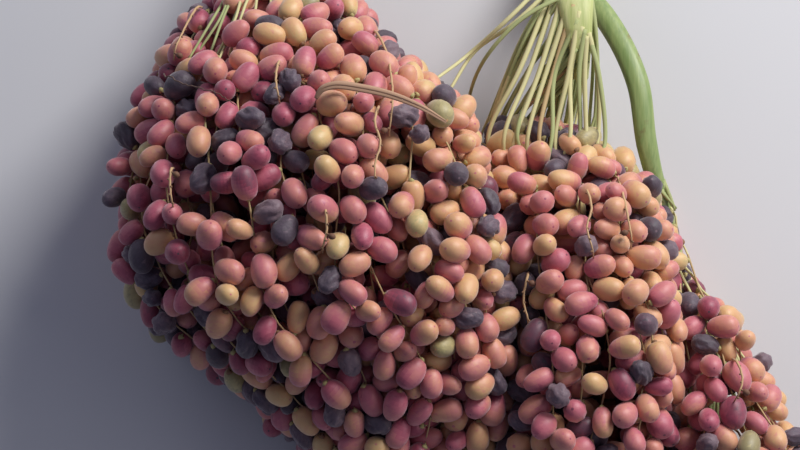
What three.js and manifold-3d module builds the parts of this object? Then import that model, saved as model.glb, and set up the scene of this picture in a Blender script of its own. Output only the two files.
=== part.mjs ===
// Three cut date bunches lying side by side, as laid down after harvest.
// Millimetres, +Z up, +Y towards the cut ends of the stalks, origin under the middle of the whole.
// Each bunch is a heap of hanks. A hank is a lane of fruiting strands that share one stem, and their dates.

import * as THREE from 'three';
import { mergeVertices } from 'three/addons/utils/BufferGeometryUtils.js';
import Module from 'manifold-3d';

const wasm = await Module();
wasm.setup();

// A ripening date measures 34 by 24 mm. Here dates are fewer and larger than life.
const DATE_LENGTH = 34;
const DATE_WIDTH = 24;
const DATE_GROWTH = 1.8;
const DATE_SIDES = 5;
const DATE_STACKS = 3;
const DATE_FULLNESS = 1.12;
const DATE_TILT = 0.5;
const HALF_DATE = (DATE_WIDTH * DATE_GROWTH) / 2;
const HALF_LENGTH = (DATE_LENGTH * DATE_GROWTH) / 2;
const ROW_PITCH = 1.84 * HALF_LENGTH;
const COLUMN_PITCH = 2.2 * HALF_DATE;

// The heap's cross-section: widest a little above the floor, flat underneath, full at the shoulders.
// WAIST is the height of its widest place as a share of the crest, higher where two bunches press together.
const WAIST = 0.3;
const PRESSED_WAIST = 0.62;
const FOOT = 0.75;
const FOOT_POWER = 1.5;
const SHOULDER_POWER = 2.6;

// Clearances between touching solids.
const GAP = 0.3;
const WALL_GAP = 0.4;
const BUNCH_GAP = 0.8;

// How finely the cores, the rooms of the hanks and the lines of dates are stepped.
const CORE_PITCH = 60;
const CORE_TOP_POINTS = 5;
const CORE_FOOT_POINTS = 3;
const THINNEST_CORE = 4;
const ROOM_PITCH = 20;
const ROOM_SIZE = 700;
const ROOM_TAIL = 32;
const REACH_STEP = 2;
const FLANK_STEP = 6;
const LINE_STEPS = 40;

// A lane narrower than this holds no strands. Near the stalk, where lanes draw together, it may be narrower.
const NARROWEST_LANE = 24;
const NARROWEST_FANNED = 7;

// Bare strands leave a stem on the stalk, pass the gate above the bunch and sink into their hank.
const STRANDS_PER_HANK = 3;
const STRAND_RADIUS = 3.2;
const STRAND_TIP_RADIUS = 2;
const STRAND_SIDES = 3;
const STRAND_STEPS = 4;
const STRAND_SINK = 34;
const STRAND_DEPTH = { least: 0.6, spread: 0.3 };
const STRAND_ARCH = 0.4;
const STEM_RADIUS = 5;
const STEM_OFFSET = 16;
const STEM_SHARE = 0.5;
const GATE_DISTANCE = 13;
const STALK_SIDES = 8;
const STALK_STEPS = 14;

// Stations run from the stalk end to the tip: [y, left edge, right edge, crest height].
// fanFoot is the y above which the lanes draw together towards the stalk. Below it they hang straight.
const LEFT_BUNCH = {
  name: 'left',
  hanks: 5,
  fanFoot: -30,
  stations: [
    [262, -292, -140, 130],
    [232, -322, -100, 182],
    [200, -350, -76, 222],
    [90, -395, 2, 310],
    [-30, -417, 33, 345],
    [-145, -385, 52, 325],
    [-235, -262, 51, 262],
    [-330, -178, 20, 175],
    [-385, -120, -36, 95],
  ],
};
const MIDDLE_BUNCH = {
  name: 'middle',
  hanks: 2,
  fanFoot: -20,
  stations: [
    [98, 22, 88, 95],
    [84, 8, 128, 125],
    [62, 2, 198, 162],
    [-20, 28, 226, 238],
    [-145, 45, 240, 272],
    [-260, 44, 238, 262],
    [-375, 30, 221, 205],
    [-425, 66, 205, 150],
    [-466, 106, 176, 85],
  ],
};
const RIGHT_BUNCH = {
  name: 'right',
  hanks: 2,
  fanFoot: -260,
  stations: [
    [-38, 226, 256, 80],
    [-90, 240, 276, 135],
    [-145, 240, 330, 180],
    [-260, 236, 384, 215],
    [-362, 230, 418, 190],
    [-410, 212, 403, 150],
    [-454, 225, 335, 85],
  ],
};

// Stalks run from the cut end to the tip, flattened, as [x, y, z, width, thickness].
const LEFT_STALK = {
  name: 'left_stalk',
  route: [
    [-262, 466, 13, 52, 25],
    [-240, 400, 44, 47, 22],
    [-216, 342, 112, 42, 19],
    [-209, 312, 124, 30, 15],
    [-213, 288, 114, 17, 11],
  ],
  rachis: [0.55, 1],
};
const MIDDLE_STALK = {
  name: 'middle_stalk',
  route: [
    [150, 440, 12, 50, 23],
    [140, 360, 52, 47, 21],
    [132, 270, 118, 44, 19],
    [131, 215, 150, 42, 17],
    [135, 170, 150, 28, 14],
    [138, 132, 132, 16, 10],
  ],
  rachis: [0.6, 1],
};
const RIGHT_STALK = {
  name: 'right_stalk',
  route: [
    [92, 365, 12, 34, 23],
    [116, 290, 34, 31, 22],
    [170, 224, 68, 28, 20],
    [206, 140, 90, 27, 19],
    [217, 62, 86, 25, 18],
    [240, -18, 56, 17, 12],
  ],
  rachis: [0.9, 1],
};

const PALE_STALK = new THREE.MeshStandardMaterial({ color: 0xb9c27a, roughness: 0.55, metalness: 0 });
const GREEN_STALK = new THREE.MeshStandardMaterial({ color: 0x7f9450, roughness: 0.5, metalness: 0 });
const RED_FRUIT = new THREE.MeshStandardMaterial({ color: 0xa9504c, roughness: 0.5, metalness: 0 });
const AMBER_FRUIT = new THREE.MeshStandardMaterial({ color: 0xc47a58, roughness: 0.5, metalness: 0 });

// A small seeded generator, so that the same bunch grows each time.
function seeded(seed) {
  let state = seed;
  return () => {
    state = (state + 0x6d2b79f5) | 0;
    let t = Math.imul(state ^ (state >>> 15), 1 | state);
    t = (t + Math.imul(t ^ (t >>> 7), 61 | t)) ^ t;
    return ((t ^ (t >>> 14)) >>> 0) / 4294967296;
  };
}

function toSolid(geometry) {
  const bare = geometry.clone();
  bare.deleteAttribute('normal');
  bare.deleteAttribute('uv');
  const merged = mergeVertices(bare);
  return new wasm.Manifold(new wasm.Mesh({
    numProp: 3,
    vertProperties: new Float32Array(merged.attributes.position.array),
    triVerts: new Uint32Array(merged.index.array),
  }));
}

function toGeometry(solid) {
  const mesh = solid.getMesh();
  const geometry = new THREE.BufferGeometry();
  geometry.setAttribute('position', new THREE.BufferAttribute(new Float32Array(mesh.vertProperties), 3));
  geometry.setIndex(new THREE.BufferAttribute(new Uint32Array(mesh.triVerts), 1));
  geometry.computeVertexNormals();
  return geometry;
}

// Rings of equal count, joined into one closed skin with a fan at each end.
function loftRings(rings) {
  const positions = [];
  const index = [];
  const count = rings[0].length;
  rings.forEach((ring) => ring.forEach((p) => positions.push(p.x, p.y, p.z)));
  for (let r = 0; r + 1 < rings.length; r += 1) {
    for (let i = 0; i < count; i += 1) {
      const a = r * count + i;
      const b = r * count + ((i + 1) % count);
      index.push(a, b, a + count, b, b + count, a + count);
    }
  }
  const closeEnd = (ring, first, outward) => {
    const middle = ring.reduce((sum, p) => sum.add(p), new THREE.Vector3()).divideScalar(count);
    const centre = positions.length / 3;
    positions.push(middle.x, middle.y, middle.z);
    for (let i = 0; i < count; i += 1) {
      const a = first + i;
      const b = first + ((i + 1) % count);
      if (outward) index.push(centre, a, b);
      else index.push(centre, b, a);
    }
  };
  closeEnd(rings[0], 0, false);
  closeEnd(rings[rings.length - 1], (rings.length - 1) * count, true);
  const geometry = new THREE.BufferGeometry();
  geometry.setAttribute('position', new THREE.Float32BufferAttribute(positions, 3));
  geometry.setIndex(index);
  return geometry;
}

// A smooth value between stations, by cubic pieces with the slopes of the chords beside them.
function smooth(stations, column, y) {
  const last = stations.length - 1;
  const slope = (i) => {
    const a = stations[Math.max(i - 1, 0)];
    const b = stations[Math.min(i + 1, last)];
    return (b[column] - a[column]) / (b[0] - a[0]);
  };
  let i = 0;
  while (i < last - 1 && y < stations[i + 1][0]) i += 1;
  const span = stations[i + 1][0] - stations[i][0];
  const t = THREE.MathUtils.clamp((y - stations[i][0]) / span, 0, 1);
  const p0 = stations[i][column];
  const p1 = stations[i + 1][column];
  const m0 = slope(i) * span;
  const m1 = slope(i + 1) * span;
  return (2 * t ** 3 - 3 * t ** 2 + 1) * p0 + (t ** 3 - 2 * t ** 2 + t) * m0
    + (3 * t ** 2 - 2 * t ** 3) * p1 + (t ** 3 - t ** 2) * m1;
}

// The space that one bunch fills: its edges, its crest and the lanes of its hanks.
class Heap {
  constructor(shape, leftNeighbour = null) {
    this.shape = shape;
    this.leftNeighbour = leftNeighbour;
    this.rightNeighbour = null;
    if (leftNeighbour) leftNeighbour.rightNeighbour = this;
    this.start = shape.stations[0][0];
    this.end = shape.stations[shape.stations.length - 1][0];
  }

  spans(y) {
    return y <= this.start && y >= this.end;
  }

  // The outer edges at one y. A bunch that meets its left neighbour stops against it.
  edges(y) {
    const left = smooth(this.shape.stations, 1, y);
    const right = smooth(this.shape.stations, 2, y);
    const beside = this.leftNeighbour;
    if (!beside || !beside.spans(y)) return { left, right };
    return { left: Math.max(left, beside.edges(y).right + BUNCH_GAP), right };
  }

  // A section is drawn in on its free sides only; where it presses on a neighbour it stays full.
  section(y, inset = 0) {
    const { left, right } = this.edges(y);
    const room = (neighbour, clearance) => {
      return neighbour && neighbour.spans(y) ? clearance(neighbour.edges(y)) : inset;
    };
    const leftRoom = room(this.leftNeighbour, (edges) => left - edges.right - BUNCH_GAP);
    const rightRoom = room(this.rightNeighbour, (edges) => edges.left - right - BUNCH_GAP);
    const freeLeft = THREE.MathUtils.clamp(leftRoom / HALF_DATE, 0, 1);
    const freeRight = THREE.MathUtils.clamp(rightRoom / HALF_DATE, 0, 1);
    return {
      left: left + inset * (this.leftNeighbour ? freeLeft : 1),
      right: right - inset * (this.rightNeighbour ? freeRight : 1),
      crest: smooth(this.shape.stations, 3, y) - inset,
      freeLeft: this.leftNeighbour ? freeLeft : 1,
      freeRight: this.rightNeighbour ? freeRight : 1,
    };
  }

  // How far out a place lies across a section, from 0 in the middle to 1 at an edge.
  across(section, x) {
    const middle = (section.left + section.right) / 2;
    return Math.min(Math.abs(x - middle) / (section.right - middle), 1);
  }

  freedom(section, x) {
    return x < (section.left + section.right) / 2 ? section.freeLeft : section.freeRight;
  }

  // The height of the upper skin, and of the underside, at one place across a section.
  top(section, x) {
    const rise = (1 - this.across(section, x) ** SHOULDER_POWER) ** (1 / SHOULDER_POWER);
    const waist = THREE.MathUtils.lerp(PRESSED_WAIST, WAIST, this.freedom(section, x));
    return section.crest * (waist + (1 - waist) * rise);
  }

  underside(section, x) {
    const curl = Math.max(0, (this.across(section, x) - FOOT) / (1 - FOOT)) ** FOOT_POWER;
    return section.crest * WAIST * curl * this.freedom(section, x);
  }

  // The x of the wall between two lanes, the first lane's left wall being number 0.
  wall(lane, y) {
    const { left, right } = this.edges(Math.max(y, this.shape.fanFoot));
    return THREE.MathUtils.lerp(left, right, lane / this.shape.hanks);
  }

  // The part of a section that belongs to one lane, with the outer edges marked.
  lane(lane, y, inset = 0) {
    const section = this.section(y, inset);
    const wallLeft = this.wall(lane, y);
    const wallRight = this.wall(lane + 1, y);
    const outerLeft = lane === 0 || section.left > wallLeft;
    const outerRight = lane === this.shape.hanks - 1 || section.right < wallRight;
    return {
      section,
      outerLeft,
      outerRight,
      low: outerLeft ? section.left : wallLeft + WALL_GAP,
      high: outerRight ? section.right : wallRight - WALL_GAP,
    };
  }

  // The walls of a lane, whether or not the bunch fills it there. Free sides stand far off.
  room(lane, y) {
    const { left, right } = this.edges(y);
    const low = this.leftNeighbour && this.leftNeighbour.spans(y) ? left : -ROOM_SIZE;
    const high = this.rightNeighbour && this.rightNeighbour.spans(y) ? right : ROOM_SIZE;
    return {
      low: lane === 0 ? low : this.wall(lane, y) + WALL_GAP,
      high: lane === this.shape.hanks - 1 ? high : this.wall(lane + 1, y) - WALL_GAP,
    };
  }

  // Where a lane is wide enough to hold strands, from its first y to its last.
  reach(lane) {
    let first = null;
    let last = null;
    for (let y = this.start - HALF_DATE; y >= this.end + HALF_DATE; y -= REACH_STEP) {
      const { low, high } = this.lane(lane, y, HALF_DATE);
      if (high - low >= (y > this.shape.fanFoot ? NARROWEST_FANNED : NARROWEST_LANE)) {
        if (first === null) first = y;
        last = y;
      }
    }
    return { first, last };
  }
}

// The y of each ring between two ends, on a grid that neighbouring solids share.
function stationsBetween(first, last, pitch) {
  const ys = [first];
  const margin = pitch / 4;
  for (let y = Math.floor((first - margin) / pitch) * pitch; y > last + margin; y -= pitch) ys.push(y);
  ys.push(last);
  return ys;
}

// The room that a hank keeps to: between its lane's walls, above the floor, and open towards the stalks.
function hankRoom(heap, lane, reach) {
  const box = (y, low, high) => [
    new THREE.Vector3(high, y, 0),
    new THREE.Vector3(high, y, ROOM_SIZE),
    new THREE.Vector3(low, y, ROOM_SIZE),
    new THREE.Vector3(low, y, 0),
  ];
  const gate = heap.start + GATE_DISTANCE;
  const rings = [box(ROOM_SIZE, -ROOM_SIZE, ROOM_SIZE), box(gate + GAP, -ROOM_SIZE, ROOM_SIZE)];
  stationsBetween(gate, reach.last - ROOM_TAIL, ROOM_PITCH).forEach((y) => {
    const { low, high } = heap.room(lane, y);
    rings.push(box(y, low, high));
  });
  return loftRings(rings);
}

// The smaller core that the dates of a hank stand out of.
function hankCore(heap, lane, reach) {
  const rings = stationsBetween(reach.first, reach.last, CORE_PITCH).map((y) => {
    const { section, low, high } = heap.lane(lane, y, HALF_DATE);
    const ring = [];
    for (let i = 0; i < CORE_TOP_POINTS; i += 1) {
      const x = THREE.MathUtils.lerp(high, low, i / (CORE_TOP_POINTS - 1));
      ring.push(new THREE.Vector3(x, y, heap.top(section, x)));
    }
    for (let i = 0; i < CORE_FOOT_POINTS; i += 1) {
      const x = THREE.MathUtils.lerp(low, high, i / (CORE_FOOT_POINTS - 1));
      const highest = heap.top(section, x) - THINNEST_CORE;
      ring.push(new THREE.Vector3(x, y, Math.min(heap.underside(section, x), highest)));
    }
    return ring;
  });
  return loftRings(rings);
}

// One date: a plump barrel with rounded ends, stretched along its own axis.
function dateAt(centre, axis, spin) {
  const date = new THREE.SphereGeometry(1, DATE_SIDES, DATE_STACKS);
  date.scale(HALF_DATE * DATE_FULLNESS, HALF_LENGTH, HALF_DATE * DATE_FULLNESS);
  date.rotateY(spin);
  date.applyQuaternion(new THREE.Quaternion().setFromUnitVectors(new THREE.Vector3(0, 1, 0), axis));
  date.translate(centre.x, centre.y, centre.z);
  return date;
}

// The line that the middles of the outer dates follow across one section of a lane.
function dateLine(heap, lane, y) {
  const { section, outerLeft, outerRight, low, high } = heap.lane(lane, y, HALF_DATE);
  const freeLeft = outerLeft && section.freeLeft > 0.5;
  const freeRight = outerRight && section.freeRight > 0.5;
  const left = freeLeft ? low : low + HALF_DATE;
  const right = freeRight ? high : high - HALF_DATE;
  const flank = [];
  for (let z = HALF_DATE; z < section.crest * WAIST; z += FLANK_STEP) flank.push(z);
  const line = [];
  if (freeLeft) line.push(...flank.map((z) => new THREE.Vector3(left, y, z)));
  for (let i = 0; i <= LINE_STEPS; i += 1) {
    const x = THREE.MathUtils.lerp(left, right, (1 - Math.cos((Math.PI * i) / LINE_STEPS)) / 2);
    line.push(new THREE.Vector3(x, y, heap.top(section, x)));
  }
  if (freeRight) line.push(...flank.reverse().map((z) => new THREE.Vector3(right, y, z)));
  return line;
}

// Even places along a line, at both of its ends, or halfway between those when the row is shifted.
function spacedAlong(line, pitch, shifted) {
  const lengths = [0];
  for (let i = 1; i < line.length; i += 1) lengths.push(lengths[i - 1] + line[i].distanceTo(line[i - 1]));
  const total = lengths[lengths.length - 1];
  const spans = Math.max(1, Math.round(total / pitch));
  const step = total / spans;
  const places = [];
  for (let n = 0; n < spans + (shifted ? 0 : 1); n += 1) {
    const s = (shifted ? n + 0.5 : n) * step;
    let i = 1;
    while (i < line.length - 1 && lengths[i] < s) i += 1;
    const t = (s - lengths[i - 1]) / (lengths[i] - lengths[i - 1]);
    places.push(line[i - 1].clone().lerp(line[i], Math.min(t, 1)));
  }
  return places;
}

// Dates stand in staggered rows over the skin of a hank, leaning this way and that.
function hankDates(heap, lane, reach, random) {
  const dates = [];
  const lean = () => (random() - 0.5) * 2 * DATE_TILT;
  const place = (centre) => {
    const axis = new THREE.Vector3(lean(), 1, lean()).normalize();
    dates.push(dateAt(centre, axis, random() * Math.PI));
  };
  const rows = Math.max(1, Math.round((reach.first - reach.last) / ROW_PITCH));
  for (let row = 0; row <= rows; row += 1) {
    const y = THREE.MathUtils.lerp(reach.first, reach.last, row / rows);
    const line = dateLine(heap, lane, y);
    spacedAlong(line, COLUMN_PITCH, row % 2 === 1).forEach(place);
    if (row > 0 && row < rows) continue;
    const { section, low, high } = heap.lane(lane, y, HALF_DATE);
    const x = (low + high) / 2;
    const highest = heap.top(section, x) - COLUMN_PITCH;
    for (let z = HALF_DATE; z < highest; z += COLUMN_PITCH) place(new THREE.Vector3(x, y, z));
  }
  return dates;
}

// Flattened rings along a smooth route, at right angles to it, for limbs that taper.
function taperedRings(route, sides, steps, widthAt, thicknessAt) {
  const curve = new THREE.CatmullRomCurve3(route);
  const up = new THREE.Vector3(0, 0, 1);
  const rings = [];
  for (let s = 0; s <= steps; s += 1) {
    const t = s / steps;
    const middle = curve.getPoint(t);
    const along = curve.getTangent(t);
    const across = new THREE.Vector3().crossVectors(along, up).normalize();
    const over = new THREE.Vector3().crossVectors(across, along).normalize();
    const ring = [];
    for (let i = 0; i < sides; i += 1) {
      const angle = (-2 * Math.PI * i) / sides;
      ring.push(middle.clone()
        .addScaledVector(across, (Math.cos(angle) * widthAt(t)) / 2)
        .addScaledVector(over, (Math.sin(angle) * thicknessAt(t)) / 2));
    }
    rings.push(ring);
  }
  return rings;
}

function valueAlong(values, t) {
  const at = t * (values.length - 1);
  const i = Math.min(Math.floor(at), values.length - 2);
  return THREE.MathUtils.lerp(values[i], values[i + 1], at - i);
}

// A stalk, or the slightly swollen copy of it that keeps its clearance.
function stalkGeometry(stalk, swell = 0) {
  const route = stalk.route.map(([x, y, z]) => new THREE.Vector3(x, y, z));
  const widths = stalk.route.map((point) => point[3] + 2 * swell);
  const thicknesses = stalk.route.map((point) => point[4] + 2 * swell);
  const width = (t) => valueAlong(widths, t);
  const thickness = (t) => valueAlong(thicknesses, t);
  if (swell > 0) {
    const end = route.length - 1;
    const outwards = (a, b) => route[a].clone().sub(route[b]).normalize().multiplyScalar(swell);
    route[0].add(outwards(0, 1));
    route[end].add(outwards(end, end - 1));
  }
  return loftRings(taperedRings(route, STALK_SIDES, STALK_STEPS, width, thickness));
}

function strandGeometry(route, startRadius, endRadius) {
  const width = (t) => 2 * THREE.MathUtils.lerp(startRadius, endRadius, t);
  return loftRings(taperedRings(route, STRAND_SIDES, STRAND_STEPS, width, width));
}

// The bare strands of a hank spread from one stem on the stalk and sink into the hank.
function hankStrands(heap, lane, reach, stalk, random) {
  const curve = new THREE.CatmullRomCurve3(stalk.route.map(([x, y, z]) => new THREE.Vector3(x, y, z)));
  const spread = ((lane + 0.5) / heap.shape.hanks) * 2 - 1;
  const [high, low] = stalk.rachis;
  const root = curve.getPoint(THREE.MathUtils.lerp(low, high, Math.abs(spread)));
  root.x += spread * STEM_OFFSET;
  const gateY = heap.start + GATE_DISTANCE;
  const gate = {
    low: heap.wall(lane, gateY) + STRAND_RADIUS,
    high: heap.wall(lane + 1, gateY) - STRAND_RADIUS,
  };
  const sinkY = Math.max(reach.first - STRAND_SINK, reach.last);
  const sink = heap.lane(lane, sinkY, HALF_DATE);
  const fork = root.clone().lerp(new THREE.Vector3((gate.low + gate.high) / 2, gateY, root.z), STEM_SHARE);
  const pieces = [strandGeometry([root, fork], STEM_RADIUS, STRAND_RADIUS)];
  for (let i = 0; i < STRANDS_PER_HANK; i += 1) {
    const share = (i + 0.5) / STRANDS_PER_HANK;
    const x = THREE.MathUtils.lerp(sink.low, sink.high, share);
    const height = heap.top(sink.section, x) * (STRAND_DEPTH.least + STRAND_DEPTH.spread * random());
    const gateX = THREE.MathUtils.lerp(gate.low, gate.high, share);
    const through = new THREE.Vector3(gateX, gateY, THREE.MathUtils.lerp(fork.z, height, STRAND_ARCH));
    const sunk = new THREE.Vector3(x, sinkY, height);
    pieces.push(strandGeometry([fork, through, sunk], STRAND_RADIUS, STRAND_TIP_RADIUS));
  }
  return pieces;
}

const stalks = [LEFT_STALK, MIDDLE_STALK, RIGHT_STALK];
const stalkClearance = wasm.Manifold.union(stalks.map((stalk) => toSolid(stalkGeometry(stalk, GAP))));

// Scraps that the cuts leave loose are dropped.
function largestBody(solid) {
  return solid.decompose().reduce((best, body) => (body.volume() > best.volume() ? body : best));
}

function hankMesh(heap, lane, stalk, material, seed) {
  const random = seeded(seed);
  const reach = heap.reach(lane);
  const pieces = [
    hankCore(heap, lane, reach),
    ...hankDates(heap, lane, reach, random),
    ...hankStrands(heap, lane, reach, stalk, random),
  ];
  const fused = wasm.Manifold.union(pieces.map(toSolid))
    .intersect(toSolid(hankRoom(heap, lane, reach)))
    .subtract(stalkClearance);
  const mesh = new THREE.Mesh(toGeometry(largestBody(fused)), material);
  mesh.name = `${heap.shape.name}_hank_${lane + 1}`;
  return mesh;
}

const bunches = new THREE.Group();
stalks.forEach((stalk, i) => {
  const mesh = new THREE.Mesh(stalkGeometry(stalk), i === 2 ? GREEN_STALK : PALE_STALK);
  mesh.name = stalk.name;
  bunches.add(mesh);
});

const leftHeap = new Heap(LEFT_BUNCH);
const middleHeap = new Heap(MIDDLE_BUNCH, leftHeap);
const rightHeap = new Heap(RIGHT_BUNCH, middleHeap);
[leftHeap, middleHeap, rightHeap].forEach((heap, i) => {
  for (let lane = 0; lane < heap.shape.hanks; lane += 1) {
    const material = i === 0 ? RED_FRUIT : AMBER_FRUIT;
    bunches.add(hankMesh(heap, lane, stalks[i], material, 100 * (i + 1) + lane));
  }
});

export default bunches;
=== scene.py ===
"""Cut date bunches on a pale floor: the fruit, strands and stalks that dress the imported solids.

Lengths in the plant's own classes are millimetres, as on the maker's drawing. Meshes are written in metres.
"""

import logging
import math
from dataclasses import dataclass
from enum import Enum
from typing import Iterator, Sequence

import bpy
import numpy as np
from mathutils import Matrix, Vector


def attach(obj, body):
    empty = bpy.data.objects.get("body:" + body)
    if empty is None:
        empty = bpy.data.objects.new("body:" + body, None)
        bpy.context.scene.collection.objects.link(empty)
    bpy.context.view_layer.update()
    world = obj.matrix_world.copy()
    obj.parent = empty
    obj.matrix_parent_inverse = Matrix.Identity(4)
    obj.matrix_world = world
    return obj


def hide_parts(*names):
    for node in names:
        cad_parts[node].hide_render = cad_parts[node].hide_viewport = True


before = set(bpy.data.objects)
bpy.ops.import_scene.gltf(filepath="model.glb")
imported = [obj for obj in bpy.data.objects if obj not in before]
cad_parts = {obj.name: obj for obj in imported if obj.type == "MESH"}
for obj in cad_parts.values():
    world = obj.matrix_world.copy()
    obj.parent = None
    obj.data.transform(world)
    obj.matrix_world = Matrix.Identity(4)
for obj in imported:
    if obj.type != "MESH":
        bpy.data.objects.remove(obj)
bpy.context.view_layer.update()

logging.basicConfig(level=logging.INFO, format="%(message)s")
LOG = logging.getLogger("bunches")
METRES = 0.001
GOLDEN = 0.6180339887
ROOT_BODY = "root"
PALE_SLOT = "pale_stalk"
SUNK_ROOT = 0.42
NEARLY_UP = (0.02, 0.03, 1.0)
TUBE_OFF_FLOOR = 0.3
SEED = 20
MIX_SHARE, MIX_FIRST, MIX_SECOND, MIX_RESULT = 0, 6, 7, 2

Array = np.ndarray
Rng = np.random.Generator
Material = bpy.types.Material
Pair = tuple[float, float]
Triple = tuple[float, float, float]
Rgb = tuple[int, int, int]
Rgba = tuple[float, float, float, float]


# Colours


class Tone(Enum):
    """Key colours of a ripening date's skin, from greenest to darkest, as sRGB bytes."""

    OLIVE = (146, 134, 88)
    STRAW_GREEN = (178, 163, 104)
    STRAW = (208, 177, 116)
    AMBER = (213, 168, 109)
    APRICOT = (210, 151, 108)
    PEACH = (205, 131, 108)
    SALMON = (196, 111, 108)
    CORAL_ROSE = (188, 93, 106)
    ROSE = (173, 72, 94)
    CRIMSON = (146, 44, 70)
    DARK_CRIMSON = (112, 34, 60)
    PLUM = (84, 44, 62)
    PURPLE_BLACK = (56, 40, 52)
    BLOOMED_BLACK = (72, 54, 70)
    RAISIN_GREY = (108, 84, 92)


class Part(Enum):
    """Small parts that have a colour of their own."""

    CALYX = (176, 164, 108)
    DRY_CALYX = (140, 104, 74)
    STRAND = (204, 198, 142)
    GREEN_STRAND = (164, 172, 114)
    RIPE_STRAND = (188, 162, 114)
    DRY_STRAND = (170, 138, 98)
    BARE_END = (196, 160, 116)
    HUSK = (184, 146, 116)
    TWIG = (96, 72, 60)
    FRUITLET = (112, 76, 54)


def linear(rgb: Sequence[float]) -> Rgba:
    """Turn sRGB bytes into the linear colour that a shader takes.

    Args:
        rgb: red, green and blue, from 0 to 255.

    Returns:
        The same colour, linear, with full alpha.
    """
    parts = [c / 255 for c in rgb]
    lit = [c / 12.92 if c <= 0.04045 else ((c + 0.055) / 1.055) ** 2.4 for c in parts]
    return lit[0], lit[1], lit[2], 1.0


# Node graphs and finishes


class Wire:
    """A shader socket that takes part in Python sums, so that a formula adds its Math nodes."""

    def __init__(self, graph: "Graph", socket: bpy.types.NodeSocket) -> None:
        """Wrap one output socket.

        Args:
            graph: the node graph that the socket is in.
            socket: the output that is wrapped.
        """
        self.graph = graph
        self.socket = socket

    def _math(self, operation: str, first: "Wire | float", second: "Wire | float") -> "Wire":
        """Add one Math node and return its value."""
        return self.graph.add("ShaderNodeMath", {"operation": operation}, {0: first, 1: second})

    def __add__(self, other: "Wire | float") -> "Wire":
        """Sum."""
        return self._math("ADD", self, other)

    def __radd__(self, other: float) -> "Wire":
        """Sum with a number on the left."""
        return self._math("ADD", other, self)

    def __mul__(self, other: "Wire | float") -> "Wire":
        """Product."""
        return self._math("MULTIPLY", self, other)

    def __rmul__(self, other: float) -> "Wire":
        """Product with a number on the left."""
        return self._math("MULTIPLY", other, self)


class Graph:
    """The node graph of one new material, around its Principled shader."""

    def __init__(self, name: str) -> None:
        """Start a material.

        Args:
            name: the material's name.
        """
        self.material = bpy.data.materials.new(name)
        self.material.use_nodes = True
        self.tree = self.material.node_tree
        self.shader = self.tree.nodes["Principled BSDF"]

    def add(self, kind: str, settings: dict, inputs: dict, output: int | str = 0) -> Wire:
        """Add a node.

        Args:
            kind: the node's type.
            settings: its own settings, set before its sockets.
            inputs: values or wires, by socket name or number.
            output: which output is wanted.

        Returns:
            The wanted output.
        """
        node = self.tree.nodes.new(kind)
        for key, value in settings.items():
            setattr(node, key, value)
        for key, value in inputs.items():
            self._feed(node.inputs[key], value)
        return Wire(self, node.outputs[output])

    def _feed(self, socket: bpy.types.NodeSocket, value: "Wire | float | Sequence[float]") -> None:
        """Link a wire to a socket, or set its value.

        Args:
            socket: the input that is fed.
            value: a wire to link, or a plain value to set.
        """
        if isinstance(value, Wire):
            self.tree.links.new(value.socket, socket)
        else:
            socket.default_value = value

    def surface(self, **values: "Wire | float | Sequence[float]") -> None:
        """Set sockets of the Principled shader, spaces in their names written as underscores."""
        for key, value in values.items():
            self._feed(self.shader.inputs[key.replace("_", " ")], value)

    def place(self) -> Wire:
        """Coordinates that stay with the piece, in metres."""
        return self.add("ShaderNodeTexCoord", {}, {}, "Object")

    def noise(self, scale: float, detail: float = 2.0, stretch: Sequence[float] = (1, 1, 1)) -> Wire:
        """A noise from 0 to 1.

        Args:
            scale: patches to the metre.
            detail: octaves.
            stretch: how much the coordinates are scaled along x, y and z.

        Returns:
            The noise's value.
        """
        where = self.add("ShaderNodeMapping", {}, {"Vector": self.place(), "Scale": stretch})
        return self.add("ShaderNodeTexNoise", {}, {"Vector": where, "Scale": scale, "Detail": detail})

    def between(self, value: Wire, low: float, high: float, most: float = 1.0) -> Wire:
        """How far a value has come from a low mark to a high one.

        Args:
            value: the value that is read.
            low: the mark where the share is 0.
            high: the mark where it reaches its most.
            most: the largest share.

        Returns:
            The share, held between 0 and its most.
        """
        marks = {"Value": value, "From Min": low, "From Max": high, "To Max": most}
        return self.add("ShaderNodeMapRange", {"clamp": True}, marks)

    def blend(self, share: Wire, first: "Wire | Sequence[float]", second: "Wire | Sequence[float]") -> Wire:
        """Mix two colours.

        Args:
            share: how much of the second colour is taken.
            first: the colour at a share of 0.
            second: the colour at a share of 1.

        Returns:
            The mixed colour.
        """
        colours = {MIX_SHARE: share, MIX_FIRST: first, MIX_SECOND: second}
        return self.add("ShaderNodeMix", {"data_type": "RGBA"}, colours, MIX_RESULT)

    def bump(self, height: Wire, strength: float, depth: float) -> Wire:
        """Fine relief, as a bent normal.

        Args:
            height: the relief, from 0 to 1.
            strength: how much of it is taken.
            depth: its depth in metres.

        Returns:
            The normal.
        """
        return self.add("ShaderNodeBump", {}, {"Strength": strength, "Distance": depth, "Height": height})


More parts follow.
